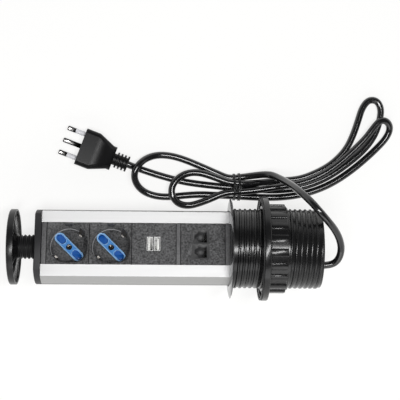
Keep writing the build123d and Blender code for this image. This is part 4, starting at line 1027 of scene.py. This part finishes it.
class DESKSOCKET_OT_socket_details(bpy.types.Operator):
    """Painted highlight rims in the recesses, pale painted highlight edging on the inserts and the leaves of the
    earth contacts
    """
    bl_idname = "desksocket.socket_details"
    bl_label = "Socket details"

    def execute(self, context):
        floor = FACE_TOP - RECESS_DEPTH
        for number, centre in enumerate(SOCKET_CENTRES, 1):
            place = TOWER @ Matrix.Translation((centre, 0, 0)) @ Matrix.Rotation(OVAL_TURN, 4, "Z")
            self.painted_floor_highlight(number, centre, floor + 0.0006)
            self.contact_tips(number, centre)
            # painted highlight: pale blue beads along the inserts' edges
            edging = [self.bead(place, 0.0357, 0.0093, 0.0, floor + 0.0009, 0.0006)]
            for along in (0.0113, -0.0113):
                edging.append(self.bead(place, 0.0118, 0.0076, along, floor + 0.0010, 0.0003))
            self.carried(join(f"socket_{number}_edging", edging), "blue edging")
            self.carried(join(f"socket_{number}_wall", [self.wall(centre, side) for side in (1, -1)]), "face")
            self.contacts(number, place)
        return {"FINISHED"}

    def painted_floor_highlight(self, number, centre, height):
        # painted highlight: a pale bead round the lit part of the recess floor's edge
        reach, first, spread, steps = 0.0184, 58, 150, 60
        arc = [radians(first + spread * i / steps) for i in range(steps + 1)]
        line = line_mesh([(centre + reach * cos(a), reach * sin(a), height) for a in arc], False)
        rim = grown(f"socket_{number}_rim", "bead", line, "rim", {"Radius": 0.0004, "Sides": 8}, TOWER)
        self.carried(rim, "rim")

    def contact_tips(self, number, centre):
        # painted highlight: the lit ends of the two earth contacts, in a pale copy of the contact steel
        half, thick = 0.0013, 0.0012
        tips = []
        for turn, reach, height in ((OVAL_TURN + pi / 2, 0.0168, 0.0078), (OVAL_TURN - pi / 2, 0.0162, 0.0016)):
            across = Vector((-sin(turn), cos(turn), 0)) * half
            middle = Vector((centre + reach * cos(turn), reach * sin(turn), height))
            line = line_mesh([middle - across, middle, middle + across], False)
            tips.append(grown("contact tip", "bead", line, "bright strip", {"Radius": thick, "Sides": 12}, TOWER))
        self.carried(join(f"socket_{number}_contact_tips", tips), "bright strip")

    def wall(self, centre, side):
        # the thin wall of the recess where it comes nearest to the extrusion
        outer, low, high, first, spread, steps = 0.0199, 0.0076, 0.0151, 79, 22, 8
        outline = [(RECESS_RADIUS, low), (outer, low), (outer, high), (RECESS_RADIUS, high)]
        turns = [side * radians(first + spread * i / steps) for i in range(steps + 1)]
        rows = [[(centre + r * cos(turn), r * sin(turn), z) for r, z in outline] for turn in turns]
        mesh = grid_mesh("wall", rows, closed_rows=False)
        mesh.transform(TOWER)
        return link("wall", mesh)

    def bead(self, place, length, width, along, height, thick):
        line = line_mesh([(x + along, y, height) for x, y in stadium(length, width)])
        return grown("insert edging", "bead", line, "blue edging", {"Radius": thick, "Sides": 8}, place)

    def carried(self, piece, key):
        smooth(piece.data, 60)
        finish(piece, key)
        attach(piece, "tower")

    def contacts(self, number, place):
        # the plain sleeves, with two sprung leaves that reach up into the middle hole
        node = f"socket_{number}_contacts"
        half, thick, first_turn = 0.0013, 0.0003, 0.6
        rows = [[(x, -half, z), (x + thick, -half, z), (x + thick, half, z), (x, half, z)]
                for x, z in ((0.0024, -0.0040), (0.0022, -0.0022), (0.0017, -0.0012))]
        leaf = grid_mesh("leaf", rows, closed_rows=False)
        leaves = []
        for turn in (first_turn, first_turn + pi):
            copy = leaf.copy()
            copy.transform(place @ Matrix.Rotation(turn, 4, "Z"))
            leaves.append(link("leaf", copy))
        piece = join(node + "_sprung", [link(node + " sleeves", merged_copy(node)), *leaves])
        smooth(piece.data, 40)
        stand_in_for(piece, "brass", node)


class DESKSOCKET_OT_bellows(bpy.types.Operator):
    """The rubber sleeve between the cap and the end plate"""
    bl_idname = "desksocket.bellows"
    bl_label = "Neck bellows"

    def execute(self, context):
        sizes = context.scene.desk_bellows
        x0, x1, foot, foot_radius, points = -0.2085, -0.1918, 0.0012, 0.0130, 12
        foot_start = x1 - foot
        step = (foot_start - x0) / sizes.folds
        wall, root, crest = sizes.wall, sizes.root, sizes.crest
        tube = link("bellows tube", lathe("bellows tube", [
            (x0, root), (foot_start, root), (foot_start + 0.0003, foot_radius - 0.0003),
            (x1 - 0.0002, foot_radius), (x1, foot_radius - 0.0002), (x1, root - wall), (x0, root - wall)], 72))
        low = root - 0.0002
        swings = [(0.5 - 0.5 * cos(2 * pi * i / points)) ** 0.8 for i in range(points + 1)]
        fold = [(x0 + step * i / points, low + (crest - low) * swing) for i, swing in enumerate(swings)]
        ring = lathe("fold", [*fold, (x0 + step, low - 0.0002), (x0, low - 0.0002)], 72, Matrix.Identity(4))
        row = {"Count": sizes.folds, "Step": (step, 0.0, 0.0)}
        folds = grown("bellows folds", "row", ring, "rubber", row, TOWER, 60)
        sleeve = join("neck_bellows_folds", [tube, folds])
        smooth(sleeve.data, 60)
        stand_in_for(sleeve, "rubber", "neck_bellows")
        self.flatten(sleeve, x0, x1)
        self.spring(sizes.coils)
        return {"FINISHED"}

    def spring(self, coils):
        x0, x1, wire, radius = -0.2091, -0.1923, 0.00055, 0.0072
        outline = line_mesh([(x, y, 0.0) for x, y in circle(wire, 10)])
        coil = grown("cap_spring_wire", "coil", outline, "spring steel", {
            "Turns": coils, "Radius": radius, "Length": x1 - x0, "Steps": 40, "Starts": 1, "Run out": 0.0005},
            TOWER @ Matrix.Translation((x0, 0, 0)), 60)
        stand_in_for(coil, "spring steel", "cap_spring")
        self.flatten(coil, x0, x1)

    def flatten(self, piece, x0, x1):
        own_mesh(piece)


class DESKSOCKET_PT_panel(bpy.types.Panel):
    """Builds the desk socket piece by piece"""
    bl_idname = "DESKSOCKET_PT_panel"
    bl_label = "Desk socket"
    bl_space_type = "VIEW_3D"
    bl_region_type = "UI"
    bl_category = "Desk socket"

    def draw(self, context):
        for operator in OPERATORS:
            self.layout.operator(operator.bl_idname)
        for name, group in GROUPS.items():
            box = self.layout.box()
            for prop in group.__annotations__:
                box.prop(getattr(context.scene, name), prop)


OPERATORS = (DESKSOCKET_OT_stage, DESKSOCKET_OT_finishes, DESKSOCKET_OT_mains_lead, DESKSOCKET_OT_hank_tie,
             DESKSOCKET_OT_eased_pieces, DESKSOCKET_OT_plug, DESKSOCKET_OT_collar, DESKSOCKET_OT_ring_nut,
             DESKSOCKET_OT_socket_details, DESKSOCKET_OT_bellows)


def register():
    for item in (*GROUPS.values(), *OPERATORS, DESKSOCKET_PT_panel):
        bpy.utils.register_class(item)
    for name, group in GROUPS.items():
        setattr(bpy.types.Scene, name, PointerProperty(type=group))


def unregister():
    for name in GROUPS:
        delattr(bpy.types.Scene, name)
    for item in reversed((*GROUPS.values(), *OPERATORS, DESKSOCKET_PT_panel)):
        bpy.utils.unregister_class(item)


def main():
    register()
    for operator in OPERATORS:
        space, action = operator.bl_idname.split(".")
        getattr(getattr(bpy.ops, space), action)()


if __name__ == "__main__":
    main()
